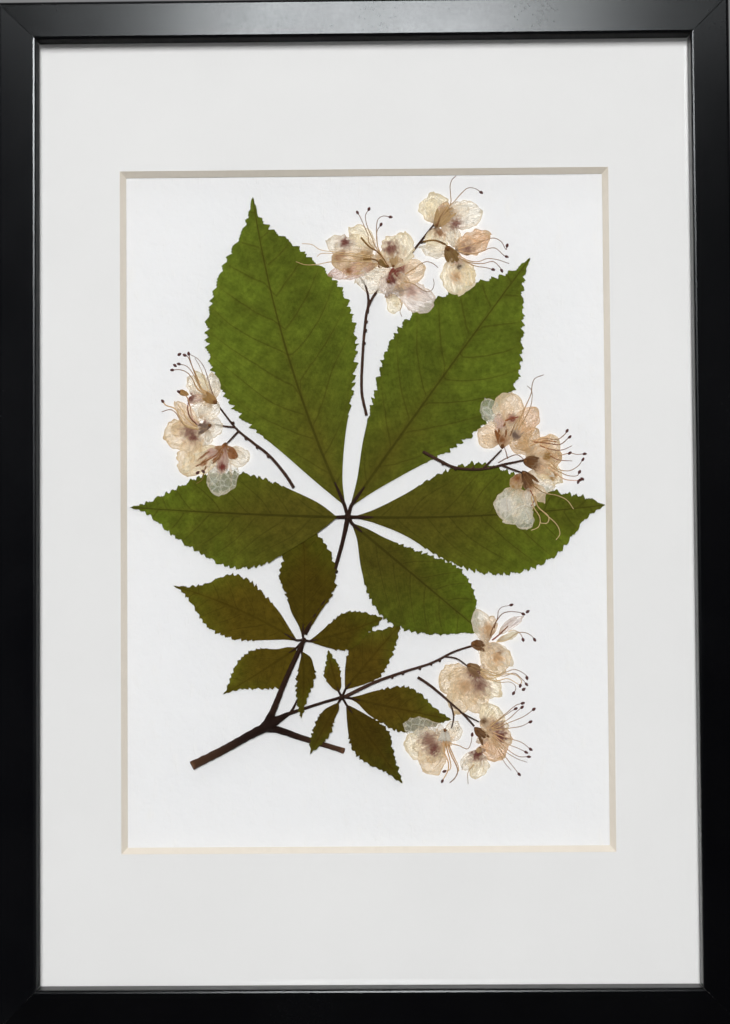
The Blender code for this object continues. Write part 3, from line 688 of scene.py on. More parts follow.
# Base and tip, how far the midrib bows to the left, the pairs of side veins, the teeth on one
# margin, and the half-widths left and right of the midrib at the stations between 0 and 1.
# "low" is the height above the paper, and "over" lists where another piece lies under the
# blade: the place, the reach and the height there.
LEAFLETS = {
    "large_leaflet_upper_left": dict(
        base=(-9.5, 2), tip=(-49, 138), bow=5, veins=9.5, teeth=26, low=0.3,
        left=(6.5, 15.5, 27.5, 33.5, 31, 20, 5.5), right=(4, 12, 23.5, 31, 30, 16.5, 2.5)),
    "large_leaflet_upper_right": dict(
        base=(-6.5, 1.5), tip=(73, 110), bow=0.5, veins=9, teeth=25, low=0.3,
        left=(4.5, 12.5, 20.5, 27.5, 26, 15, 3.5), right=(4.5, 12, 22, 27.5, 27, 15.5, 4)),
    "large_leaflet_left": dict(
        base=(-13, -3.5), tip=(-103.5, 1.5), bow=0.5, veins=8, teeth=20, low=0.4,
        over=(((-25, -12), 20, 1.75),),
        left=(6.5, 14, 22, 23.5, 18, 10, 2), right=(5.5, 10.5, 15.5, 18, 16, 8.5, 2.5)),
    "large_leaflet_right": dict(
        base=(-5, -3.5), tip=(104.5, 1), bow=-2, veins=9, teeth=22, low=0.3,
        left=(3.5, 10, 19, 23, 17, 8.5, 4.5), right=(2.5, 8, 18.5, 25, 25.5, 19, 5)),
    "large_leaflet_lower_right": dict(
        base=(-6, -6.5), tip=(50.5, -54.5), bow=0, veins=8, teeth=17, low=0.4,
        over=(((14, -51), 22, 0.9),),
        left=(2.5, 4.5, 8, 12, 15, 11.5, 4), right=(4, 12, 19.5, 22.5, 20, 13, 5)),
    "middle_leaflet_left": dict(
        base=(-31, -57), tip=(-84.5, -33), bow=-2, veins=7, teeth=15, low=0.3,
        left=(2.5, 6.5, 11, 13, 12, 6, 1.5), right=(3, 7, 10.5, 13.5, 12.5, 4.5, 1)),
    "middle_leaflet_top": dict(
        base=(-28, -55), tip=(-28, -4.5), bow=-1, veins=6, teeth=11, low=1.1,
        left=(2, 5.5, 8, 11, 9.5, 7.5, 4), right=(3.5, 7, 12, 13.5, 12.5, 9, 4)),
    "middle_leaflet_right": dict(
        base=(-25, -57.5), tip=(7, -47.5), bow=-1, veins=5, teeth=10, low=0.85,
        left=(1.5, 3.5, 6, 8, 7.5, 5, 2), right=(2, 4.5, 7, 7.5, 5.5, 3, 1.5)),
    "middle_leaflet_lower_left": dict(
        base=(-31, -60.5), tip=(-63, -80.5), bow=0.5, veins=6, teeth=12, low=0.3,
        left=(4, 7.5, 10.5, 8.5, 5, 1.8, 0.6), right=(2.5, 4.5, 8.5, 10, 9, 5.5, 1.5)),
    "middle_leaflet_bottom": dict(
        base=(-28.5, -62), tip=(-29, -91), bow=1, veins=5, teeth=8, low=1.1,
        left=(3.5, 4.5, 5.2, 4, 2.3, 1.1, 0.6), right=(0.6, 1.7, 2.7, 3.2, 3, 2.2, 1)),
    "small_leaflet_upper_left": dict(
        base=(-12.5, -79.5), tip=(-17, -61.5), bow=0.3, veins=4, teeth=7, low=0.3,
        left=(1.8, 3, 4, 4, 2.5, 1.5, 0.6), right=(1.6, 2.3, 2.8, 3.2, 2.8, 1.6, 0.8)),
    "small_leaflet_upper_right": dict(
        base=(-9.5, -78.5), tip=(15.5, -49.5), bow=0.2, veins=6, teeth=11, low=0.3,
        left=(3, 6.5, 9.5, 10, 8.5, 4, 1.5), right=(2.5, 5.5, 8, 7.5, 6, 3.5, 1.2)),
    "small_leaflet_right": dict(
        base=(-7.5, -82.5), tip=(36.5, -92), bow=-0.2, veins=6, teeth=12, low=0.3,
        left=(2, 5, 8, 10, 8.5, 4, 1.5), right=(1.5, 5, 7.5, 9.5, 8.5, 5.5, 2)),
    "small_leaflet_lower_right": dict(
        base=(-9, -85.5), tip=(15, -119.5), bow=0, veins=6, teeth=12, low=0.75,
        left=(2.2, 4.5, 7.2, 8, 5.2, 2.8, 1.2), right=(2.5, 5.5, 8.5, 9, 6.8, 3.2, 1.4)),
    "small_leaflet_lower_left": dict(
        base=(-12.8, -84.5), tip=(-25, -106.5), bow=-0.2, veins=5, teeth=8, low=1.5,
        left=(1.7, 2, 2.6, 3.6, 3.2, 2, 0.6), right=(1.8, 3.6, 4.4, 4.2, 3.6, 2.6, 1)),
}

# Leaflets whose brown reaches further, and the shades of those that are darker than the rest
AGED = ("large_leaflet_left", "large_leaflet_right", "large_leaflet_lower_right")
SHADES = {"large_leaflet_upper_right": 0.92, "large_leaflet_lower_right": 0.86,
          "middle_leaflet_top": 0.74, "middle_leaflet_right": 0.82, "middle_leaflet_bottom": 0.78,
          "small_leaflet_lower_right": 0.7, "small_leaflet_lower_left": 0.75}


def tooth_line(share, teeth, size, rng):
    """How far the margin stands out: big forward-pointing teeth with small ones on them."""
    stand = 0
    for often, tall, fall in ((1.0, 1.0, 0.78), (2.7, 0.42, 0.7)):
        count = (share - TOOTHLESS) / (1 - TOOTHLESS) * teeth * often
        count = count + 0.25 * np.sin(count * 1.7 + rng.uniform(0, 6))
        which = np.floor(count)
        part = count - which
        jitter = rng.uniform(0.6, 1.35, int(teeth * often) + 40)
        rise = np.where(part < fall, part / fall, (1 - part) / (1 - fall))
        stand = stand + tall * (rise - 0.45) * jitter[(which + 20).astype(int) % len(jitter)]
    start = np.clip((share - TOOTHLESS) / 0.08, 0, 1)
    return size * stand * start * np.clip((1 - share) / 0.08, 0.35, 1)


def leaf_blade(name, leaf, seed):
    """One leaflet: a grid drawn out to the blade's outline, with quilting between its veins."""
    rng = np.random.default_rng(seed)
    base, tip = np.array(leaf["base"], float), np.array(leaf["tip"], float)
    run = tip - base
    length = math.hypot(*run)
    aside = np.array([-run[1], run[0]]) / length
    made, along, across = grid(name + "_blade", int(length / BLADE_ROW),
                               COLUMNS_LONG if length > LONG_BLADE else COLUMNS_SHORT)

    # The outline: half a blade on either side of the midrib, its outer part moved by the teeth
    left, right = (smooth_line(STATIONS, (BLADE_BASE, *leaf[side], 0), along)
                   for side in ("left", "right"))
    size = TOOTH_SIZE + length * TOOTH_GROWTH
    teeth = [tooth_line(along, leaf["teeth"], size, rng) for _ in range(2)]
    half = np.where(across > 0, left, right)
    stand = np.where(across > 0, teeth[0], teeth[1])
    stand = np.maximum(stand, -half * 0.3) * np.clip((abs(across) - 0.72) / 0.28, 0, 1)
    beside = abs(across) * np.maximum(half, 0) + np.minimum(stand, half * 0.6)
    bow = leaf["bow"] * 4 * along * (1 - along)
    place = base + along[:, None] * run + (bow + np.sign(across) * beside)[:, None] * aside

    # The side veins lean forward and don't meet at the midrib; the skin bulges between them
    forward = 0.4 + 0.55 * (1 - along)
    vein = (along - beside / length * forward - (beside / length) ** 2 * 2.4) * leaf["veins"]
    vein = vein + 0.22 * ripple(along * length, np.sign(across) * 30, length * 0.35, seed + 7)
    vein = vein + np.where(across > 0, 0.0, VEIN_OFFSET)
    quilt = np.sin(np.pi * (vein - np.floor(vein))) * np.clip(beside / 4, 0, 1)
    quilt = quilt * (1 - abs(across) ** 3)

    # The height: over what lies under the blade, with a raised midrib and waves
    x, z = place.T
    low = leaf["low"] + 0.1
    for (over_x, over_z), reach, height in leaf.get("over", ()):
        away = np.hypot(x - over_x, z - over_z) / reach
        low = low + (height - leaf["low"]) * np.exp(-(away ** 4))
    height = (low + 0.06 * quilt + 0.1 * np.clip(1 - beside / 0.9, 0, 1) * (1 - along)
              + 0.07 * ripple(x, z, 24, seed) + 0.03 * ripple(x, z, 7, seed + 50)
              + 0.05 * abs(across) ** 4 * ripple(along * length, across * 4, 9, seed + 90))
    set_places(made, x, z, height)
    set_map(made, "blade", along, (across + 1) / 2)
    set_map(made, "veins", vein + 20, beside / RIB_UNIT)
    weld(made, 0.01)
    thicken(made, BLADE_THICK)
    smooth(made)
    return made


def leaves():
    finishes = {
        "large": leaf_finish("leaf_large", tint(109, 124, 38), tint(94, 104, 32),
                             tint(98, 92, 30), 0.05, 0.68, 0.7),
        "aged": leaf_finish("leaf_large_aged", tint(106, 122, 34), tint(92, 96, 29),
                            tint(92, 86, 28), 0.25, 1.0, 0.7),
        "middle": leaf_finish("leaf_middle", tint(104, 106, 28), tint(94, 86, 22),
                              tint(93, 78, 20), 0.5, 1.0, 0.35),
        "small": leaf_finish("leaf_small", tint(98, 100, 28), tint(90, 80, 22),
                             tint(91, 74, 20), 0.45, 1.0, 0.35),
    }
    for seed, (node, leaf) in enumerate(LEAFLETS.items()):
        made = leaf_blade(node, leaf, seed + 1)
        group = node.split("_")[0]
        made.data.materials.append(finishes["aged" if node in AGED else group])
        set_value(made, "shade", SHADES.get(node, 1.0))
        stand_for(made, node, "leaf_green" if group == "large" else "leaf_brown")


# ---------------------------------------------------------------- stems

STEM_THICK = 0.5             # of its width
STEM_RING = 0.6              # millimetres between the rings of a stem
FRESH_CUT = 2.1              # millimetres of bare wood at the branch's cut ends
PALE_REACH = 26              # and of paler skin next to them

# Every branch: its course and its widths in millimetres and the heights of its back at both
# ends. Every knob: its place in pixels of the photograph and its size in millimetres.
STEMS = {
    "branch": dict(branches=(
        ([(-77, -111.5), (-63, -104.6), (-51.5, -98.3), (-43.5, -94.3)],
         ((0, 4.0), (0.15, 3.7), (0.7, 3.6), (1, 4.2)), (0.35, 0.4)),
        ([(-47, -96), (-42.8, -93.3), (-38.2, -91.1), (-34.3, -89.0)],
         ((0, 3.2), (0.35, 4.8), (0.7, 3.1), (1, 1.8)), (0.4, 0.4)),
        ([(-45, -95.2), (-39, -96), (-29.5, -99.3), (-10, -105.4)],
         ((0, 3.2), (0.2, 3.0), (0.8, 2.3), (1, 2.5)), (0.4, 0.35)),
        ([(-46.5, -96), (-43.8, -93.2), (-42.4, -90.4), (-41.5, -88.4)],
         ((0, 3.2), (0.4, 3.8), (1, 3.0)), (0.4, 0.85))),
        knobs=((275.5, 725.5, 4.0),)),
    "petiole_middle": dict(branches=(
        ([(-41.8, -89.3), (-39.6, -84), (-34.8, -72.5), (-29.5, -60.5)],
         ((0, 3.0), (0.12, 2.8), (0.6, 2.2), (1, 2.1)), (0.85, 0.85)),)),
    "petiole_large": dict(branches=(
        ([(-27.3, -54.5), (-22.8, -46.5), (-16.5, -36.5), (-13.7, -26), (-10.8, -16), (-9, -6)],
         ((0, 2.4), (0.2, 1.9), (0.8, 1.8), (1, 2.4)), (0.35, 0.35)),), knobs=((338, 572, 1.6),)),
    "petiole_small": dict(branches=(
        ([(-34.7, -89.2), (-28, -87), (-20, -84.5), (-13.5, -82.8)],
         ((0, 1.8), (0.3, 1.4), (1, 1.3)), (0.35, 0.35)),
        ([(-33.7, -88.8), (-32.1, -86.2), (-30.6, -83)], ((0, 1.3), (1, 0.8)), (0.4, 0.4)))),
    "sprig_top_stem": dict(branches=(
        ([(0.5, 41), (-1.5, 51.5), (-1, 67.5), (0, 79.5), (1.5, 88.5), (6, 96.5), (13.5, 104.5),
          (19.5, 111), (24, 116.5), (31, 125.3)], ((0, 1.3), (0.5, 1.2), (1, 0.9)),
         (0.85, 0.35)),
        ([(1.2, 86), (1.7, 92), (0.5, 98), (-2.5, 103)], ((0, 1.4), (1, 0.7)), (0.6, 0.6)),
        ([(24.5, 117), (31, 118), (36, 116)], ((0, 0.8), (1, 0.7)), (0.5, 0.9))),
        knobs=((366.5, 322, 1.5), (366.5, 331, 1.5), (366.5, 344, 1.3), (366.5, 300, 1.4))),
    "sprig_left_stem": dict(branches=(
        ([(-31.5, 9.5), (-35, 15), (-42, 23.5), (-50, 30), (-56.5, 35.5), (-65, 46.5)],
         ((0, 1.5), (0.5, 1.2), (1, 0.7)), (0.85, 0.6)),
        ([(-57.5, 36.3), (-63, 37), (-68, 38)], ((0, 0.9), (1, 0.5)), (0.75, 1.2)),
        ([(-55.5, 34.7), (-61, 29)], ((0, 1.0), (1, 0.6)), (0.75, 1.0))),
        knobs=((235, 422, 1.5), (246, 439, 1.4), (257, 448, 1.4), (268, 457, 1.5))),
    "sprig_right_stem": dict(branches=(
        ([(25, 25), (30.5, 22), (38.5, 18), (47.5, 17), (54, 17.5), (60, 19), (69.2, 20.9)],
         ((0, 1.4), (0.5, 1.2), (1, 0.8)), (0.85, 0.85)),
        ([(51.5, 17.4), (59.5, 25.5)], ((0, 1.0), (1, 0.6)), (0.9, 1.4)),
        ([(59, 18.9), (68.8, 15.2)], ((0, 0.9), (1, 0.6)), (0.9, 1.4))),
        knobs=((440, 469, 1.4), (455, 470, 1.4), (473, 468, 1.5))),
    "sprig_low_stem": dict(branches=(
        ([(-10.2, -82), (-1, -77.5), (5, -74.9), (16.5, -71), (28, -67.4), (38, -62.5), (46, -60)],
         ((0, 1.7), (0.4, 1.3), (1, 0.9)), (0.85, 0.6)),
        ([(33.5, -64.6), (39, -65.5), (44, -69)], ((0, 0.8), (1, 0.6)), (0.7, 1.1))),
        knobs=((393, 680, 1.5), (403, 674, 1.4), (420, 669, 1.5), (431, 664, 1.4),
               (440, 661, 1.4))),
    "sprig_bottom_stem": dict(branches=(
        ([(22, -73.5), (26.5, -76.5), (31.5, -80.5), (36.5, -85), (41.5, -89.5), (46.5, -95)],
         ((0, 1.3), (0.5, 1.1), (1, 0.9)), (0.7, 0.6)),
        ([(36, -84.6), (37.5, -90.5), (36.5, -96)], ((0, 0.8), (1, 0.6)), (0.7, 1.1)),
        ([(41, -89), (44.5, -91), (48.5, -93)], ((0, 0.8), (1, 0.6)), (0.7, 1.1)))),
}


def knob(name, place, size, height):
    """A small rounded bump, wider than it is high, with an uneven skin."""
    bpy.ops.object.select_all(action="DESELECT")
    bpy.ops.mesh.primitive_ico_sphere_add(subdivisions=2, radius=0.5)
    made = bpy.context.object
    made.name = name
    co = vertex_places(made)
    co = co * (1 + 0.1 * ripple(co[:, 0] * 3, co[:, 2] * 3, 2, 5))[:, None]
    set_places(made, place[0] + co[:, 0] * size, place[1] + co[:, 2] * size,
               height + 0.3 * size - co[:, 1] * 0.6 * size)
    set_map(made, "blade", co[:, 0] + 0.5, co[:, 2] + 0.5)
    return made


# Where the leaflets of every leaf meet: the pixel, the height, the hub's size, the width of
# the leaflets' stalks, and the share of a midrib that its stalk runs along
HUBS = {"large": dict(pixel=(348, 517), low=0.5, size=3.4, width=1.7, reach=0.075),
        "middle": dict(pixel=(304, 640), low=0.85, size=2.4, width=1.1, reach=0.1),
        "small": dict(pixel=(342, 697), low=0.5, size=2.4, width=1.1, reach=0.1)}
HUB_LEVEL = 0.9              # the height at which a hub is seen through its pixel


def leaf_stalks(group):
    """The hub of one leaf and the short stalks from it to the leaflets' midribs."""
    hub = HUBS[group]
    middle, width = on_sheet(hub["pixel"], HUB_LEVEL), hub["width"]
    parts = [knob(group + "_hub", middle, hub["size"], hub["low"] - 0.2)]
    for place, (node, leaf) in enumerate(LEAFLETS.items()):
        if not node.startswith(group):
            continue
        base, tip = np.array(leaf["base"], float), np.array(leaf["tip"], float)
        run = tip - base
        aside = np.array([-run[1], run[0]])
        end = base + run * hub["reach"] + aside / math.hypot(*aside) * leaf["bow"] * 0.25
        parts.append(tube(f"{group}_stalk_{place}", [middle, (middle + base) / 2, base, end],
                          ((0, width), (0.6, width * 0.85), (1, width * 0.4)),
                          (hub["low"], leaf["low"] + 0.12), 0.45, 14, 10, 0.05, place))
    return parts


def stems():
    finishes = {
        "branch": bark("bark_branch", tint(20, 12, 11), tint(48, 32, 26), tint(104, 74, 53)),
        "petiole": bark("bark_petiole", tint(30, 18, 15), tint(64, 44, 34), tint(92, 68, 50)),
        "sprig": bark("bark_sprig", tint(44, 30, 26), tint(88, 63, 51), tint(120, 92, 66)),
    }
    for seed, (node, stem) in enumerate(STEMS.items()):
        kind, leaf = node.split("_")[0], node.split("_")[-1]
        sides, slant = (18, 0.8) if kind == "branch" else (10, 0.3)
        wrinkle = 0.04 if kind == "petiole" else 0.05
        parts = []
        for place, (points, widths, low) in enumerate(stem["branches"]):
            if kind == "petiole" and place == 0:
                points = [*points[:-1], on_sheet(HUBS[leaf]["pixel"], HUB_LEVEL)]
            rings = max(8, int(course_length(points) / STEM_RING))
            part = tube(f"{node}_{place}", points, widths, low, STEM_THICK, rings, sides,
                        wrinkle, seed * 10 + place, slant)
            parts.append(part)
            if kind == "branch" and place in (0, 2):
                end = points[0] if place == 0 else points[-1]
                x, z = on_paper(part)
                away = np.hypot(x - end[0], z - end[1])
                fresh = np.clip((FRESH_CUT - away) / 0.3, 0, 1)
                pale = 0.5 * np.clip(1 - away / PALE_REACH, 0, 1)
                set_value(part, "cut", np.maximum(fresh, pale))

        # Knobs sit on the first branch, pulled in to its edge where they stand further off
        points, widths, low = stem["branches"][0]
        for x, y, size in stem.get("knobs", ()):
            spots, _ = smooth_course(points, np.linspace(0, 1, 200))
            aside = on_sheet((x, y), low[0]) - spots
            share = np.argmin(np.hypot(*aside.T))
            away = math.hypot(*aside[share])
            aside = aside[share] * min(1, widths[1][1] * 0.45 / max(away, 0.01))
            height = np.interp(share / 199, (0, 1), low)
            parts.append(knob(f"{node}_knob", spots[share] + aside, size, height))
        if kind == "petiole":
            parts += leaf_stalks(leaf)
        made = join(node + "_stalk", parts)
        made.data.materials.append(finishes[kind])
        smooth(made, 60)
        stand_for(made, node, "dried_stem")


# ---------------------------------------------------------------- blossoms

TONES = {
    "white": tint(240, 234, 220), "pale": tint(240, 231, 213), "film": tint(236, 228, 212),
    "cream": tint(243, 232, 202), "yellow": tint(240, 222, 180), "peach": tint(235, 210, 176),
    "orange": tint(224, 182, 136), "tan": tint(204, 168, 120), "gold": tint(180, 138, 82),
    "rust": tint(158, 100, 56), "brown": tint(124, 84, 50), "dark": tint(74, 48, 32),
    "olive": tint(142, 110, 62), "pink": tint(212, 176, 160), "crimson": tint(144, 72, 62),
    "purple": tint(132, 78, 70), "lilac": tint(229, 216, 208), "grey": tint(208, 209, 194),
    "ash": tint(136, 112, 98), "straw": tint(222, 194, 148), "anther": tint(92, 60, 56),
    "honey": tint(224, 200, 160), "umber": tint(142, 108, 76),
}

# The tone of a petal's pleats by its own tone; the others have tan ones
PLEAT_TONES = {"orange": "rust", "tan": "gold", "gold": "rust", "rust": "brown",
               "olive": "brown", "crimson": "brown", "brown": "dark", "pink": "crimson",
               "lilac": "purple"}

# Petals of these tones are coloured all over
DEEP_TONES = ("rust", "brown", "dark", "olive", "crimson", "purple", "gold")

# Every blossom, in pixels of the photograph. "low" is the height of its middle above the paper
# in millimetres. calyx: foot, mouth, width, tone. petals: foot, tip, width, tone and how
# see-through. marks: place, reach, tone. threads: the course, the width in millimetres, the
# tones of foot and tip, and whether an anther ends it. anthers: more of them, whose threads
# are hidden.
BLOSSOMS = {
    "flower_top_left": dict(
        low=1.25, calyx=((389, 268), (380, 259), 9, "olive"),
        petals=(((379, 262), (333, 259), 24, "tan", 0.3), ((373, 252), (328, 241), 22, "pale", 0.5),
                ((374, 250), (350, 228), 20, "cream", 0.5), ((375, 266), (329, 275), 15, "pink", 0.6)),
        marks=(((337, 258), 5, "rust"), ((343, 254), 4, "rust"), ((349, 271), 4, "rust"),
               ((345, 243), 6, "purple"), ((366, 258), 7, "gold")),
        threads=(
            (((387, 266), (377, 252), (369, 243), (368, 235), (364, 226), (360, 217),
              (357.5, 213)), 0.5, "tan", "ash", True),
            (((385, 262), (375, 246), (372, 238), (367, 226), (365.5, 216), (369, 209.5)),
             0.5, "tan", "ash", True),
            (((384, 260), (378, 248), (377, 240), (376.5, 228), (378, 220), (383, 216.5),
              (390.5, 217.5)), 0.5, "tan", "ash", True),
            (((384, 260), (377.5, 246), (377, 232), (381, 225)), 0.45, "tan", "ash", True),
            (((370, 256), (332, 252), (320, 250), (312, 245), (302, 244)), 0.4, "straw", "tan",
             False),
            (((370, 258), (333, 254), (321, 254), (317, 257)), 0.4, "straw", "tan", False),
            (((372, 262), (333, 262), (316, 265), (305, 265), (296, 262)), 0.45, "straw", "tan",
             False),
            (((361, 238), (369, 247), (377, 252), (384, 260), (387, 266)), 0.8, "olive", "brown",
             False),
            (((363, 260), (372, 259.5), (378, 262), (379, 268)), 0.8, "olive", "brown", False))),
    "flower_top_middle": dict(
        low=1.75, calyx=((393, 268), (394, 260), 8, "tan"),
        petals=(((392, 268), (404, 234), 30, "cream", 0.35),),
        marks=(((391, 250), 8.5, "purple"), ((394, 262), 6, "tan")), threads=()),
    "flower_top_right": dict(
        low=1.25, calyx=((387, 284), (398, 272), 10, "crimson"),
        petals=(((396, 274), (357, 283), 27, "film", 0.55), ((398, 275), (424, 269), 22, "peach", 0.35),
                ((400, 286), (434, 307), 26, "lilac", 0.45), ((390, 294), (396, 314), 14, "cream", 0.45),
                ((412, 288), (386, 297), 12, "ash", 0.45), ((392, 276), (384, 294), 16, "lilac", 0.5),
                ((392, 274), (408, 290), 14, "tan", 0.4)),
        marks=(((399, 269), 8, "crimson"), ((411, 291), 6, "pink"), ((392, 280), 6, "purple")),
        threads=(
            (((405, 275), (417, 267), (421, 264), (427, 262), (433, 264), (438, 268)), 0.5,
             "tan", "ash", False),
            (((404, 282), (413, 284), (419, 288), (427, 292), (432, 290), (434, 284), (433, 279)),
             0.45, "tan", "ash", False),
            (((399, 298), (401.5, 305), (400, 312), (402, 317)), 0.4, "tan", "ash", False))),
    "flower_upper_right": dict(
        low=1.25, calyx=((435, 229), (445, 209), 10, "tan"),
        petals=(((437, 224), (434, 194), 28, "cream", 0.3), ((444, 220), (481, 211), 27, "white", 0.45),
                ((436, 228), (437, 253), 21, "cream", 0.4), ((442, 226), (457, 241), 14, "pale", 0.5)),
        marks=(((455, 224), 7, "purple"), ((440, 233), 5, "rust"), ((436, 226), 4, "brown"),
               ((448, 213), 6, "gold")),
        threads=(
            (((444, 214), (450.5, 204), (450.5, 195), (450, 187), (452, 180), (456, 176.5)),
             0.5, "tan", "ash", False),
            (((444, 214), (447, 209), (455, 201), (462, 193), (468, 188.5), (475, 189),
              (481, 193)), 0.45, "tan", "ash", True),
            (((437, 226), (441, 216), (448, 205)), 0.8, "brown", "tan", False))),
    "flower_far_right": dict(
        low=1.75, calyx=((446, 247), (456, 262), 15, "olive"),
        petals=(((452, 252), (421, 249), 12, "pale", 0.55), ((454, 248), (453, 226), 13, "pale", 0.5),
                ((455, 258), (458, 294), 32, "cream", 0.35), ((455, 250), (489, 236), 22, "orange", 0.3),
                ((458, 262), (472, 284), 16, "yellow", 0.45)),
        marks=(((467, 251), 7, "purple"), ((467, 257), 5, "brown"), ((456, 277), 5, "orange"),
               ((459, 267), 3, "dark"), ((453, 254), 5, "dark")),
        threads=(
            (((458, 252), (470.5, 254), (480, 252.5), (490, 248.5), (496, 249), (504, 256),
              (506.5, 257)), 0.5, "orange", "ash", True),
            (((458, 250), (487, 240), (494, 238.5), (501, 242), (506, 250), (507, 246)), 0.5,
             "orange", "ash", True),
            (((458, 256), (468, 261), (478, 262), (487, 259), (497, 260), (509, 264)), 0.45,
             "tan", "ash", False),
            (((458, 258), (470, 263), (482, 264), (493, 262), (500, 268), (501.5, 271)), 0.5,
             "tan", "ash", True),
            (((458, 258), (474, 266), (486, 268), (493, 270)), 0.5, "tan", "ash", True),
            (((423, 242), (434, 241), (446, 246), (453, 252)), 0.8, "olive", "brown", False))),
    "flower_left_upper": dict(
        low=1.25, calyx=((217, 404), (206, 393), 12, "gold"),
        petals=(((213, 400), (212, 375), 16, "film", 0.45), ((210, 399), (188, 378), 18, "pale", 0.5),
                ((211, 403), (190, 418), 18, "film", 0.6), ((206, 398), (188, 401), 9, "pink", 0.4),
                ((211, 395), (196, 372), 10, "cream", 0.3)),
        marks=(((191, 397), 5, "purple"), ((216, 403), 3, "dark"), ((208, 398), 6, "tan")),
        threads=(
            (((206, 394), (201, 389), (196.6, 378), (191.2, 363), (189, 354)), 0.6, "tan", "brown",
             True),
            (((206, 395), (197.7, 389), (192.3, 378.4), (186.9, 372.4), (180, 370),
              (172.5, 370.3)), 0.6, "tan", "ash", True),
            (((206, 393), (199.9, 387), (196.6, 380.6), (191.2, 370.8), (185.8, 365.9),
              (179, 364.3)), 0.5, "tan", "ash", True),
            (((207, 392), (202, 389), (197.7, 378.4), (192.3, 366.5), (188, 357), (185, 355.4)),
             0.5, "tan", "brown", True),
            (((213, 394), (209.7, 383.8), (206.4, 373), (203.1, 365.4), (197.7, 358.9),
              (190, 354.5)), 0.45, "ash", "ash", False),
            (((209, 392), (205, 380), (200, 367), (195, 358)), 0.4, "straw", "ash", False)),
        anthers=((179.7, 354.7), (175.2, 365.7))),
    "flower_left_middle": dict(
        low=1.75, calyx=((212, 425), (199, 430), 9, "ash"),
        petals=(((198, 428), (165, 438), 30, "honey", 0.45), ((198, 434), (187, 476), 28, "honey", 0.45),
                ((203, 428), (222, 424), 22, "film", 0.6), ((208, 430), (204, 446), 12, "film", 0.5),
                ((199, 424), (176, 402), 12, "peach", 0.4), ((200, 418), (218, 404), 18, "film", 0.65),
                ((189, 395), (178.5, 392), 5, "gold", 0.05)),
        marks=(((190, 432), 8, "purple"), ((194, 438), 5, "purple"), ((206, 426), 5, "purple")),
        threads=(
            (((199, 429), (196.6, 428.3), (185.8, 425), (180.4, 417.4), (175, 408.8),
              (166.3, 405.5), (163, 401.5)), 0.8, "straw", "tan", True),
            (((199, 430), (186.9, 427.2), (181.5, 421.8), (176, 413), (170.6, 409.8), (162, 412)),
             0.6, "tan", "ash", False),
            (((198, 427), (188, 420), (183, 411), (178, 405)), 0.6, "tan", "straw", False),
            (((197, 424), (191, 418.5), (188, 409), (190, 397)), 0.7, "brown", "purple", False),
            (((199, 425), (193, 419), (190.5, 408), (187, 397), (179, 392)), 0.7, "pink", "gold",
             True))),
    "flower_left_lower": dict(
        low=1.75, calyx=((226, 443), (225, 451), 9, "rust"),
        petals=(((228, 450), (248, 462), 18, "pale", 0.5), ((224, 453), (219, 495), 29, "grey", 0.85),
                ((222, 450), (183, 471), 24, "cream", 0.45), ((225, 446), (196, 466), 8, "rust", 0.1),
                ((226, 446), (236, 459), 9, "rust", 0.05), ((225, 446), (213, 463), 7, "rust", 0.1),
                ((225, 447), (222, 475), 9, "pink", 0.2), ((219, 452), (204, 456), 10, "pink", 0.35)),
        marks=(((204, 464), 5, "rust"), ((222, 467), 5, "crimson")),
        threads=((((225, 445), (215, 456), (197, 466)), 0.5, "rust", "brown", False),
                 (((225, 445), (219, 458), (212, 464)), 0.4, "rust", "brown", False),
                 (((206, 466), (204, 474), (202, 480), (196.6, 483.6)), 0.4, "olive", "olive",
                  False)),
        anthers=((198, 472.8), (203.5, 471.5))),
    "flower_right_upper": dict(
        low=1.25, calyx=((502, 449), (504, 428), 11, "rust"),
        petals=(((498, 426), (485, 399), 18, "grey", 0.85), ((500, 442), (479, 431), 25, "peach", 0.35),
                ((504, 424), (512, 394), 28, "peach", 0.45), ((512, 440), (535, 410), 22, "orange", 0.4),
                ((508, 432), (522, 420), 22, "tan", 0.35), ((502, 434), (498, 414), 12, "pink", 0.4),
                ((500, 446), (514, 426), 14, "tan", 0.35)),
        marks=(((502, 440), 6, "rust"), ((512, 419), 5, "crimson"), ((516, 436), 6, "ash")),
        threads=(
            (((515, 430), (524.7, 408), (531, 393.6), (532, 384.9), (534.7, 378.7),
              (543.4, 375)), 0.55, "tan", "ash", False),
            (((518, 430), (529.7, 408.5), (532, 397), (531, 390), (527, 386)), 0.45, "tan", "ash",
             False),
            (((505, 421), (508.6, 419.7), (518.5, 417)), 0.7, "rust", "crimson", False),
            (((507.5, 459), (506, 453), (503.5, 446)), 0.5, "brown", "ash", False),
            (((510, 436), (514, 426), (520, 416)), 0.5, "brown", "tan", False))),
    "flower_right_middle": dict(
        low=1.75, calyx=((523, 462), (537, 462), 13, "brown"),
        petals=(((526, 458), (558, 440), 24, "peach", 0.35), ((528, 462), (560, 455), 26, "tan", 0.3),
                ((534, 466), (561, 482), 19, "yellow", 0.45), ((524, 452), (536, 428), 18, "tan", 0.45),
                ((530, 462), (556, 470), 16, "orange", 0.35), ((534, 448), (510, 440), 18, "tan", 0.4)),
        marks=(((532, 465), 9, "brown"), ((545, 441), 6, "orange"), ((553, 476), 5, "gold"),
               ((547, 456), 6, "gold")),
        threads=(
            (((532, 440.8), (544.6, 438.4), (557, 439.6), (564.5, 434.6), (566.8, 431)), 0.6,
             "orange", "ash", True),
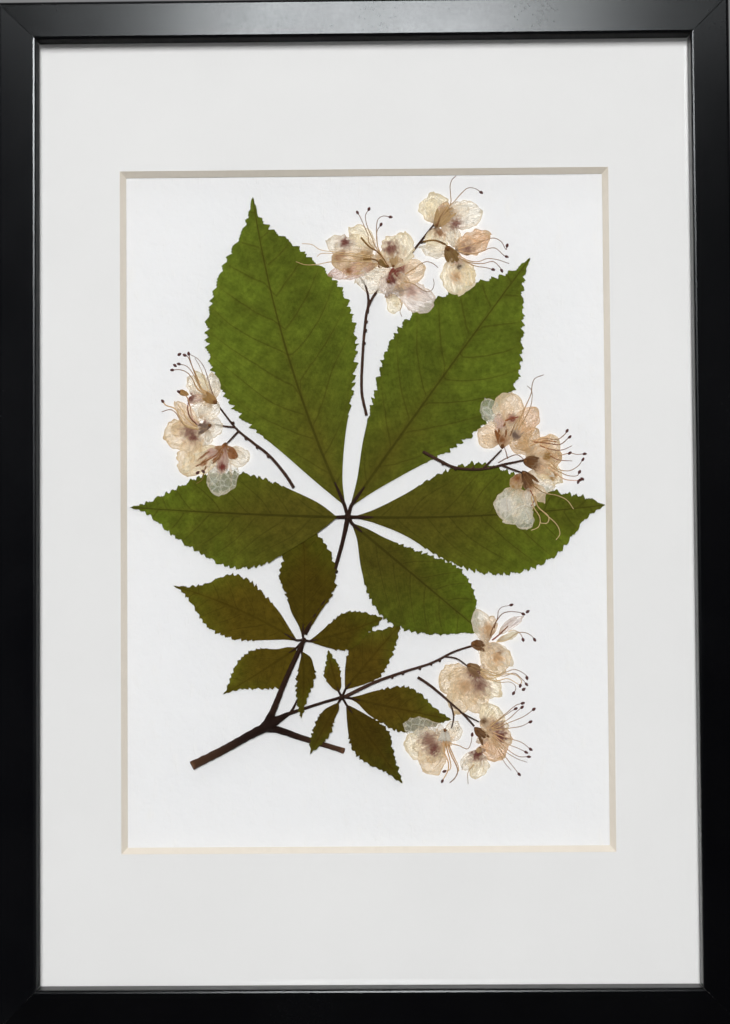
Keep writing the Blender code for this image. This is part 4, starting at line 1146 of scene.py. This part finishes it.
            (((533.4, 442), (547, 443.3), (559.6, 444.6), (569.5, 437)), 0.6, "rust", "ash", True),
            (((539.7, 445.8), (550.8, 449.6), (562, 450), (572, 445.8)), 0.5, "rust", "ash", False),
            (((544.6, 447), (554.6, 455.8), (569.5, 453.3), (577, 454.5), (584.4, 454)), 0.5,
             "orange", "ash", True),
            (((549.6, 455.8), (558.3, 460), (572, 461)), 0.45, "rust", "ash", False),
            (((550, 462), (558.3, 469.5), (569.5, 470.7), (578.2, 465.7), (582.6, 459.5)), 0.5,
             "tan", "ash", True),
            (((548, 465), (557, 470.7), (568.3, 475.7), (577, 475.7), (579.2, 472)), 0.5, "tan",
             "ash", True),
            (((548, 468), (557, 474.4), (564.5, 479.4), (575.7, 480.6), (580, 480)), 0.6, "orange",
             "pink", True),
            (((530, 446), (544, 441), (556, 442)), 0.6, "tan", "rust", False),
            (((498, 463), (507, 458), (517, 455), (524, 460)), 0.55, "ash", "brown", False)),
        anthers=((569.5, 453.2), (582, 479), (578, 482))),
    "flower_right_lower": dict(
        low=1.25, calyx=((522, 471), (531, 487), 10, "brown"),
        petals=(((527, 474), (555, 486), 23, "white", 0.45), ((523, 490), (503, 520), 36, "grey", 0.6),
                ((521, 503), (526, 529), 19, "grey", 0.75), ((521, 474), (513, 489), 12, "gold", 0.35),
                ((528, 488), (531, 507), 11, "white", 0.35), ((533, 484), (543, 502), 12, "peach", 0.5)),
        marks=(((529, 484), 6, "rust"), ((517, 478), 5, "rust"), ((506, 505), 10, "white")),
        threads=(
            (((532, 484), (534.7, 486.9), (544.6, 493), (557, 495.6), (567, 500.5), (573.2, 509)),
             0.5, "olive", "straw", False),
            (((533, 495), (537, 505.5), (547, 515.5), (557, 525.4), (559.6, 534), (555.8, 540)),
             0.5, "tan", "straw", False),
            (((531, 496), (533.4, 506.8), (539.7, 518), (538.4, 526.7), (531, 530.4)), 0.5, "tan",
             "straw", False),
            (((535, 496), (537.8, 506.8), (548.4, 516.7), (547, 523), (539.7, 523)), 0.5, "tan",
             "straw", False),
            (((530, 490), (534, 500), (531, 506)), 0.5, "rust", "crimson", False),
            (((525, 505), (516, 509), (504, 520)), 0.4, "white", "grey", False))),
    "flower_low_upper": dict(
        low=1.25, calyx=((471, 643), (484, 647), 13, "brown"),
        petals=(((487, 642), (476, 611), 18, "film", 0.5), ((486, 638), (494, 617), 11, "peach", 0.55),
                ((499, 634), (523, 617), 9, "lilac", 0.6), ((497, 641), (519, 632), 6, "cream", 0.2),
                ((484, 644), (506, 671), 27, "honey", 0.45), ((490, 644), (511, 664), 16, "pale", 0.5)),
        marks=(((493, 636), 6, "brown"), ((477, 643), 4, "rust"), ((499, 653), 4, "brown"),
               ((497, 658), 6, "orange"), ((488, 629), 6, "orange")),
        threads=(
            (((490, 636), (492, 629.4), (498.2, 618.2), (503, 613.2), (510, 611.5), (520, 612.5),
              (523, 614)), 0.5, "brown", "ash", True),
            (((494, 628), (497.5, 616.8), (498.2, 611), (501.8, 607), (508.8, 605.5),
              (511.2, 604.8)), 0.4, "brown", "ash", True),
            (((492, 640), (496.8, 636.4), (503, 630.8), (508, 625.9)), 0.7, "crimson", "brown",
             False),
            (((496, 642), (506.7, 640), (517.2, 632.9), (526.3, 632.9), (532.6, 637),
              (534.4, 639.6)), 0.5, "straw", "ash", True),
            (((508, 632), (513, 630), (519.3, 632.9), (521.4, 635.7), (522.8, 639.6)), 0.45,
             "straw", "ash", True)),
        anthers=((527.5, 611.5),)),
    "flower_low_lower": dict(
        low=1.75, calyx=((467, 664), (480, 672), 11, "umber"),
        petals=(((470, 670), (441, 689), 27, "honey", 0.45), ((470, 671), (456, 713), 28, "honey", 0.45),
                ((471, 671), (480, 713), 26, "honey", 0.45), ((473, 672), (500, 694), 24, "cream", 0.5),
                ((473, 673), (462, 694), 14, "peach", 0.4)),
        marks=(((478.5, 684.6), 10, "purple"), ((465, 686), 7, "orange"), ((475, 672), 8, "purple")),
        threads=(
            (((480, 668), (483.5, 669.4), (493.3, 675), (503.2, 672.9), (513.7, 669.4),
              (520.7, 671.5), (526.3, 675.7), (526.8, 677.8)), 0.5, "straw", "ash", True),
            (((480, 671), (485, 672.9), (494.7, 675.7), (506.7, 673.6), (515.8, 675),
              (521.4, 680.6), (520, 685.5)), 0.55, "straw", "tan", True),
            (((480, 674), (485, 677.8), (496.1, 680.6), (507.4, 678.5), (515.8, 682.7),
              (519.3, 684.8)), 0.5, "tan", "straw", False),
            (((481, 670), (492, 672), (503, 676), (514, 673), (522, 679), (526.3, 684.1)), 0.45,
             "straw", "ash", True),
            (((483, 676), (498, 682), (510, 682), (515, 685.5), (515.4, 689.7), (513.4, 693)),
             0.4, "straw", "ash", True),
            (((480, 672), (490, 678), (500, 676)), 0.6, "tan", "straw", False)),
        anthers=((523.5, 689),)),
    "flower_bottom_left": dict(
        low=1.25, calyx=((445, 728), (445, 741), 10, "film"),
        petals=(((446, 732), (404, 724), 21, "grey", 0.85), ((444, 744), (405, 745), 29, "cream", 0.45),
                ((442, 750), (423, 770), 27, "honey", 0.45), ((446, 740), (458, 722), 17, "pale", 0.5),
                ((444, 744), (430, 758), 16, "yellow", 0.45)),
        marks=(((429, 740), 9, "purple"), ((434, 748), 8, "purple"), ((446, 742), 5, "orange")),
        threads=(
            (((443, 742.6), (444.3, 752), (448.3, 762.7), (447.6, 770.7), (442.2, 780.8)), 0.7,
             "orange", "tan", True),
            (((445, 743), (448, 753), (450.5, 763), (450, 769), (444.3, 771)), 0.6, "gold", "tan",
             True),
            (((447, 744), (451, 754.7), (456.3, 765.4), (457.6, 771), (455, 777.4), (449.6, 782.5)),
             0.7, "orange", "ash", False),
            (((448.5, 744), (453.5, 756), (457.8, 765), (458.5, 771)), 0.55, "gold", "tan", False),
            (((448.8, 743), (458, 745), (467.5, 748.6), (471, 742), (472, 734.3)), 0.45, "tan",
             "ash", True))),
    "flower_bottom_right": dict(
        low=1.75, calyx=((474, 727), (485, 738), 9, "brown"),
        petals=(((486, 734), (502, 758), 24, "orange", 0.4), ((486, 732), (511, 739), 20, "peach", 0.4),
                ((484, 724), (497, 707), 26, "cream", 0.45), ((486, 728), (508, 726), 14, "pale", 0.45),
                ((480, 720), (502, 735), 17, "tan", 0.3)),
        marks=(((484, 721), 4, "brown"), ((497, 727), 7, "purple"), ((501, 736), 7, "purple")),
        threads=(
            (((490, 726), (504, 716), (511, 711), (515.5, 708.5)), 0.45, "tan", "ash", True),
            (((490, 726), (506, 713), (516, 705), (522.5, 703)), 0.45, "tan", "ash", True),
            (((491, 728), (508, 719), (517, 711), (521.8, 707)), 0.45, "tan", "ash", True),
            (((492, 729), (510, 722), (524, 716), (533.6, 709)), 0.45, "tan", "ash", True),
            (((492, 730), (508, 728), (521, 726), (530.3, 721.5)), 0.45, "tan", "ash", True),
            (((493, 732), (508, 738), (521, 742), (530.5, 749)), 0.45, "orange", "ash", True),
            (((493, 734), (508, 744), (518, 748), (526, 752)), 0.45, "orange", "ash", True),
            (((493, 735), (506, 748), (518, 756), (528.6, 756.5)), 0.45, "orange", "ash", True),
            (((492, 737), (502, 752), (511, 764), (519, 774)), 0.45, "tan", "ash", True),
            (((492, 736), (504, 750), (516, 758), (527, 762)), 0.4, "tan", "ash", False),
            (((491, 738), (499, 752), (505, 763), (511, 770)), 0.4, "tan", "ash", False))),
    "flower_bottom_middle": dict(
        low=1.25, calyx=((480, 746), (479, 752), 6, "tan"),
        petals=(((479, 752), (462, 769), 14, "film", 0.55), ((479, 752), (476, 778), 19, "cream", 0.5)),
        marks=(((478, 754), 7.5, "purple"),),
        threads=((((474, 764), (468, 772), (468, 784)), 0.4, "tan", "ash", False),)),
}

TIP_HEIGHT = 1.0             # petals sink to this height above the paper away from their foot
SINK_REACH = 13.0            # over this distance
PETAL_THICK = 0.05
PETAL_LAYER = 0.05           # millimetres between one petal of a flower and the next
PETAL_SPREAD = 1.12          # a petal is made this much wider than its row says
THREAD_RING = 0.5            # millimetres between the rings of a thread


def sunk(x, z, middle, low):
    """The height of a blossom's pieces, from its middle down to the paper."""
    away = np.clip(np.hypot(x - middle[0], z - middle[1]) / SINK_REACH, 0, 1)
    return low - (low - TIP_HEIGHT) * (3 - 2 * away) * away ** 2


def dye(colours, share, tone):
    """Pull the colours of all vertices towards a tone."""
    colours += share[:, None] * (np.array(TONES[tone]) - colours)


def petal(name, foot, tip, width, tone, sheer, marks, middle, low, seed, claw_tone="tan",
          mesh=(26, 22), disc=0.56, body=0.0):
    """A crumpled blade: a short claw that opens into a round disc with waves and folds. Foot
    and tip are places on the paper, width is in millimetres, disc is where along the petal it
    is widest and body how deep its colour is all over."""
    rng = np.random.default_rng(seed)
    run = tip - foot
    length = math.hypot(*run)
    ahead = run / length
    aside = np.array([-ahead[1], ahead[0]])
    made, along, across = grid(name, *mesh)

    # The outline: a narrow claw that opens into an uneven disc
    along = 1 - (1 - along) ** 1.5
    far = (along - disc) / (1 - disc)
    near = (along - disc) / (disc - 0.02)
    round_part = np.sqrt(np.clip(1 - np.where(along > disc, far, near) ** 2, 0, 1))
    reach = np.maximum(round_part, 0.2 * np.clip(1.4 - along * 2, 0, 1))
    edge = np.where(along > disc, np.hypot(far, across * round_part), abs(across))
    rim = 1 + 0.11 * ripple(along * length * 1.4, np.sign(across) * 9, 5, seed) * abs(across)
    half = width / 2 * reach * rim
    end = 1 + 0.065 * ripple(across * width / 2, 0, 3.5, seed + 1) * along ** 3
    bend = rng.uniform(-0.06, 0.06) * length * np.sin(np.pi * along)
    out, beside = along * length * end, across * half + bend

    # Folds along the paper and crumples up from it
    tuck = 0.3 * ripple(out, beside, 5, seed + 2) * along
    x = foot[0] + ahead[0] * (out + tuck) + aside[0] * (beside + tuck)
    z = foot[1] + ahead[1] * (out + tuck) + aside[1] * (beside - tuck)
    crumple = (0.07 * ripple(out * 0.45, beside * 1.3, 3.2, seed + 3)
               + 0.04 * ripple(out * 0.5, beside * 1.6, 1.5, seed + 4))
    height = sunk(x, z, middle, low) + crumple * np.clip(along * 3, 0.2, 1)
    set_places(made, x, z, height)
    set_map(made, "blade", along * length / 10, (across + 1) / 2)

    # The colours: its tone, its claw, dark pleats that fan out, and the flower's marks
    colours = np.broadcast_to(TONES[tone], (len(x), 4)).copy()
    dye(colours, np.clip(1 - along / 0.4, 0, 1) ** 1.5 * 0.75, claw_tone)
    pleat = np.clip(ripple(beside * 1.1, out * 0.12, 1.7, seed + 6) * 1.6 - 0.4, 0, 1)
    pleat = pleat * np.clip(1.25 - along, 0, 1) * 0.6
    dye(colours, pleat, PLEAT_TONES.get(tone, "tan"))
    stained = np.maximum(pleat * 0.5, body)
    for place, size, stain in marks:
        at = on_sheet(place)
        away = np.hypot(x - at[0], z - at[1]) / (size * PIXEL)
        away = away / (1 + 0.5 * ripple(x, z, 2.2, seed + 5))
        dye(colours, 0.34 * np.exp(-(away / 2) ** 2), "peach")
        share = np.exp(-away ** 2 * 1.4) * 1.6
        share = np.clip(share * (0.85 + 0.15 * np.sin(across * width * 2.6 + seed)), 0, 1)
        dye(colours, share, stain)
        colours[:, :3] *= 1 - 0.15 * np.clip(share * 2 - 1, 0, 1)[:, None] ** 2
        stained = np.maximum(stained, share)
    set_colour(made, "tone", colours)
    set_value(made, "stain", stained)
    set_value(made, "sheer", sheer)
    set_value(made, "edge", edge)
    weld(made, 0.01)
    thicken(made, PETAL_THICK)
    return made


def turned(run, degrees):
    """A line on the paper turned to the left."""
    cos, sin = math.cos(math.radians(degrees)), math.sin(math.radians(degrees))
    return np.array([run[0] * cos - run[1] * sin, run[0] * sin + run[1] * cos])


def petals(node, shapes, marks, heart, middle, low, seed):
    """All petals of one flower, each with a narrower fold of itself that lies over it, and
    small crumpled ones around its heart."""
    rng = np.random.default_rng(seed)
    made = []
    for place, (foot, tip, width, tone, sheer) in enumerate(shapes):
        foot, tip, width = on_sheet(foot), on_sheet(tip), width * PIXEL * PETAL_SPREAD
        height = low + PETAL_LAYER * (place - 1)
        body = 0.8 if tone in DEEP_TONES else 0.0
        made.append(petal(f"{node}_petal", foot, tip, width, tone, sheer, marks, middle, height,
                          seed + place, body=body))
        lean = rng.choice((-1, 1)) * rng.uniform(7, 15)
        fold = foot + turned(tip - foot, lean) * rng.uniform(0.66, 0.84)
        made.append(petal(f"{node}_fold", foot, fold, width * 0.5, tone, sheer, marks, middle,
                          height + PETAL_LAYER / 2, seed + 11 + place, mesh=(20, 12), body=body))
    for place, lean in enumerate((0, 90, 180, 270)):
        run = turned(np.array((0.0, 1.0)), lean + rng.uniform(-40, 40)) * rng.uniform(2.6, 4.6)
        made.append(petal(f"{node}_inner", heart - run * 0.4, heart + run, rng.uniform(2.4, 4.0),
                          rng.choice(("tan", "pink", "pale", "peach")), 0.5, marks, middle,
                          low + 0.08 + 0.01 * place, seed + 60 + place, mesh=(14, 10)))
    return made


def sepals(node, foot, mouth, width, tone, middle, low, seed):
    """The calyx: narrow lobes that fan out from the flower's foot over its petals."""
    rng = np.random.default_rng(seed)
    start, run = on_sheet(foot), on_sheet(mouth) - on_sheet(foot)
    made = []
    for place, lean in enumerate((-24, 22, -11, 12, 0)):
        tip = start + turned(run, lean + rng.uniform(-4, 4)) * rng.uniform(0.85, 1.3)
        made.append(petal(f"{node}_sepal", start, tip, width * PIXEL * 0.42, tone, 0.1, (),
                          middle, low + 0.14 + 0.02 * place, seed + place, claw_tone="dark",
                          mesh=(14, 8), disc=0.45, body=0.9))
    return made


def thread(name, points, width, tones, middle, low, seed):
    """A filament on its course, flattened, thinner towards its tip."""
    course = [on_sheet(point) for point in points]
    made = tube(name, course, ((0, width * 1.15), (0.6, width * 0.85), (1, width * 0.7)),
                (0, 0), 0.7, max(8, int(course_length(course) / THREAD_RING)), 6, 0.08, seed)
    lift_to(made, middle, low + 0.12)
    run = course[-1] - course[0]
    x, z = on_paper(made)
    share = ((x - course[0][0]) * run[0] + (z - course[0][1]) * run[1]) / max(run @ run, 0.01)
    share = np.clip(share, 0, 1)[:, None]
    foot, tip = (np.array(TONES[tone]) for tone in tones)
    set_colour(made, "tone", foot * (1 - share) + tip * share)
    return made


def anther(name, place, turn, middle, low, seed):
    """A dark pollen sac, a little longer than wide, turned by this angle."""
    at = on_sheet(place)
    aim = np.array([math.cos(turn), math.sin(turn)]) * 0.95
    made = tube(name, [at - aim, at, at + aim], ((0, 0.4), (0.3, 1.2), (0.7, 1.1), (1, 0.4)),
                (0, 0), 0.5, 8, 8, 0.1, seed)
    lift_to(made, middle, low + 0.1)
    set_colour(made, "tone", TONES["anther"])
    return made


def lift_to(made, middle, low):
    """Raise a flat tube so that its back follows the blossom's height."""
    co = vertex_places(made)
    co[:, 1] -= sunk(*on_paper(made), middle, low) * MM
    made.data.vertices.foreach_set("co", co.ravel())
    made.data.update()


def blossoms():
    film = petal_film()
    fibre = thread_finish()
    for number, (node, flower) in enumerate(BLOSSOMS.items()):
        seed = 100 + number * 40
        low = flower["low"]
        foot, mouth, width, tone = flower["calyx"]
        middle = (on_sheet(foot) + on_sheet(mouth)) / 2
        sheets = petals(node, flower["petals"], flower["marks"], on_sheet(mouth), middle, low,
                        seed)
        sheets += sepals(node, foot, mouth, width, tone, middle, low, seed + 30)
        base = on_sheet(foot) * 0.85 + on_sheet(mouth) * 0.15
        solid = [knob(f"{node}_foot", base, width * PIXEL * 0.34, low)]
        set_colour(solid[0], "tone", TONES["brown"])
        for i, (points, wide, start, end, tipped) in enumerate(flower["threads"]):
            solid.append(thread(f"{node}_thread", points, wide, (start, end), middle, low,
                                seed + 21 + i))
            if tipped:
                (x0, y0), (x1, y1) = points[-2:]
                solid.append(anther(f"{node}_anther", points[-1], math.atan2(y0 - y1, x1 - x0),
                                    middle, low, seed + i))
        for i, place in enumerate(flower.get("anthers", ())):
            solid.append(anther(f"{node}_anther", place, 1.9 * i + 0.6, middle, low, seed + i))
        for part in sheets + solid:
            part.data.materials.append(film)
            part.data.materials.append(fibre)
        for part in solid:
            faces = part.data.polygons
            faces.foreach_set("material_index", np.ones(len(faces), int))
            for name in ("stain", "sheer", "edge"):
                set_value(part, name, 0.0)
        made = join(node + "_blossom", sheets + solid)
        made.visible_shadow = False
        smooth(made, 80)
        stand_for(made, node, "dried_petal")


# ---------------------------------------------------------------- light, floor and camera

WHITE, COOL = (1.0, 1.0, 1.0), (0.93, 0.98, 1.0)

# Every lamp: the degrees to the right and up at which the picture sees it, metres away, width,
# height, watts, colour, what it lights and what throws a shadow in it
LAMPS = {
    "front_softbox": (-2, 15, 6.0, 1.6, 2.0, 302, WHITE, None, None),
    "high_softbox": (-3, 78, 4.0, 2.4, 1.0, 37, WHITE, None, "all_but_rails"),
    "left_fill": (-72, 12, 4.0, 1.2, 1.6, 8, WHITE, None, "all_but_rails"),
    "right_fill": (72, 12, 4.0, 1.2, 1.6, 8, WHITE, None, "all_but_rails"),
    "top_rail_shine": (0.3, 35, 1.7, 0.5, 0.24, 11.2, COOL, "rails", None),
    "bottom_lip_shine": (0, 4, 1.6, 0.34, 0.1, 6.6, COOL, "bottom", None),
    "left_rail_glow": (-24, 33, 1.6, 0.3, 0.3, 1.1, COOL, "left", None),
    "right_rail_glow": (24, 33, 1.6, 0.3, 0.3, 1.1, COOL, "right", None),
    "left_lip_shine": (20, 25, 1.6, 0.15, 0.12, 40, COOL, "left", None),
    "right_lip_shine": (-20, 23, 1.6, 0.15, 0.12, 12, COOL, "right", None),
}


def pale_floor():
    bpy.ops.object.select_all(action="DESELECT")
    bpy.ops.mesh.primitive_plane_add(size=6, location=(0, 0, FRAME_BOTTOM - FLOOR_GAP))
    floor = bpy.context.object
    floor.name = "floor"
    floor.visible_glossy = False
    floor.visible_transmission = False
    finish = Finish("pale_floor")
    cloud = finish.noise(finish.place(), 3, 4)
    floor.data.materials.append(finish.surface({
        "Base Color": finish.blend(cloud, tint(214, 214, 212), tint(222, 222, 220)),
        "Roughness": 0.9, "Specular IOR Level": 0.1}))


def room():
    """Soft light all round, brighter from behind the picture than from in front of it."""
    world = bpy.data.worlds.new("room")
    world.use_nodes = True
    bpy.context.scene.world = world
    tree = world.node_tree
    back = tree.nodes["Background"]
    way = tree.nodes.new("ShaderNodeTexCoord")
    split = tree.nodes.new("ShaderNodeSeparateXYZ")
    shade = tree.nodes.new("ShaderNodeMapRange")
    shade.interpolation_type = "SMOOTHSTEP"
    for name, value in (("From Min", -0.6), ("From Max", 0.2), ("To Min", 0.012),
                        ("To Max", 0.22)):
        shade.inputs[name].default_value = value
    tree.links.new(way.outputs["Generated"], split.inputs[0])
    tree.links.new(split.outputs["Y"], shade.inputs["Value"])
    tree.links.new(shade.outputs[0], back.inputs["Strength"])
    back.inputs["Color"].default_value = (1.0, 1.0, 1.0, 1.0)


def lamps():
    """A large soft lamp in front, weaker ones above and beside, and small ones that only the
    rails see, for the sheen along the moulding."""
    sides = ("top", "bottom", "left", "right")
    links = {}
    for name, lit in (("rails", sides), ("bottom", ("bottom",)), ("left", ("left",)),
                      ("right", ("right",)), ("all_but_rails", sides)):
        links[name] = bpy.data.collections.new("lit_" + name)
        for side in lit:
            links[name].objects.link(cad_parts[f"rail_{side}"])
    for member in links["all_but_rails"].collection_objects:
        member.light_linking.link_state = "EXCLUDE"

    middle = Vector((0, 0, CENTRE_Z))
    for name, values in LAMPS.items():
        turn, rise, away, wide, tall, power, colour, lights, shades = values
        lamp_data = bpy.data.lights.new(name, "AREA")
        lamp_data.shape = "RECTANGLE"
        lamp_data.size = wide
        lamp_data.size_y = tall
        lamp_data.energy = power
        lamp_data.color = colour
        lamp = bpy.data.objects.new(name, lamp_data)
        bpy.context.scene.collection.objects.link(lamp)
        around, up = math.radians(turn), math.radians(rise)
        way_out = Vector((math.sin(around) * math.cos(up), -math.cos(around) * math.cos(up),
                          math.sin(up)))
        lamp.location = middle + way_out * away
        lamp.rotation_euler = (-way_out).to_track_quat("-Z", "Y").to_euler()
        lamp.light_linking.receiver_collection = links.get(lights)
        lamp.light_linking.blocker_collection = links.get(shades)
        lamp.visible_glossy = lights is not None
        lamp.visible_transmission = False
        lamp.visible_camera = False


def camera():
    data = bpy.data.cameras.new("camera")
    data.sensor_fit = "VERTICAL"
    data.sensor_height = SENSOR
    data.lens = LENS
    data.clip_start = 0.01
    made = bpy.data.objects.new("camera", data)
    bpy.context.scene.collection.objects.link(made)
    made.matrix_world = Matrix.Translation(CAMERA_PLACE) @ CAMERA_TURN.to_4x4()
    bpy.context.scene.camera = made


dress_frame()
leaves()
stems()
blossoms()
pale_floor()
room()
lamps()
camera()
bpy.context.scene.view_settings.view_transform = "Standard"
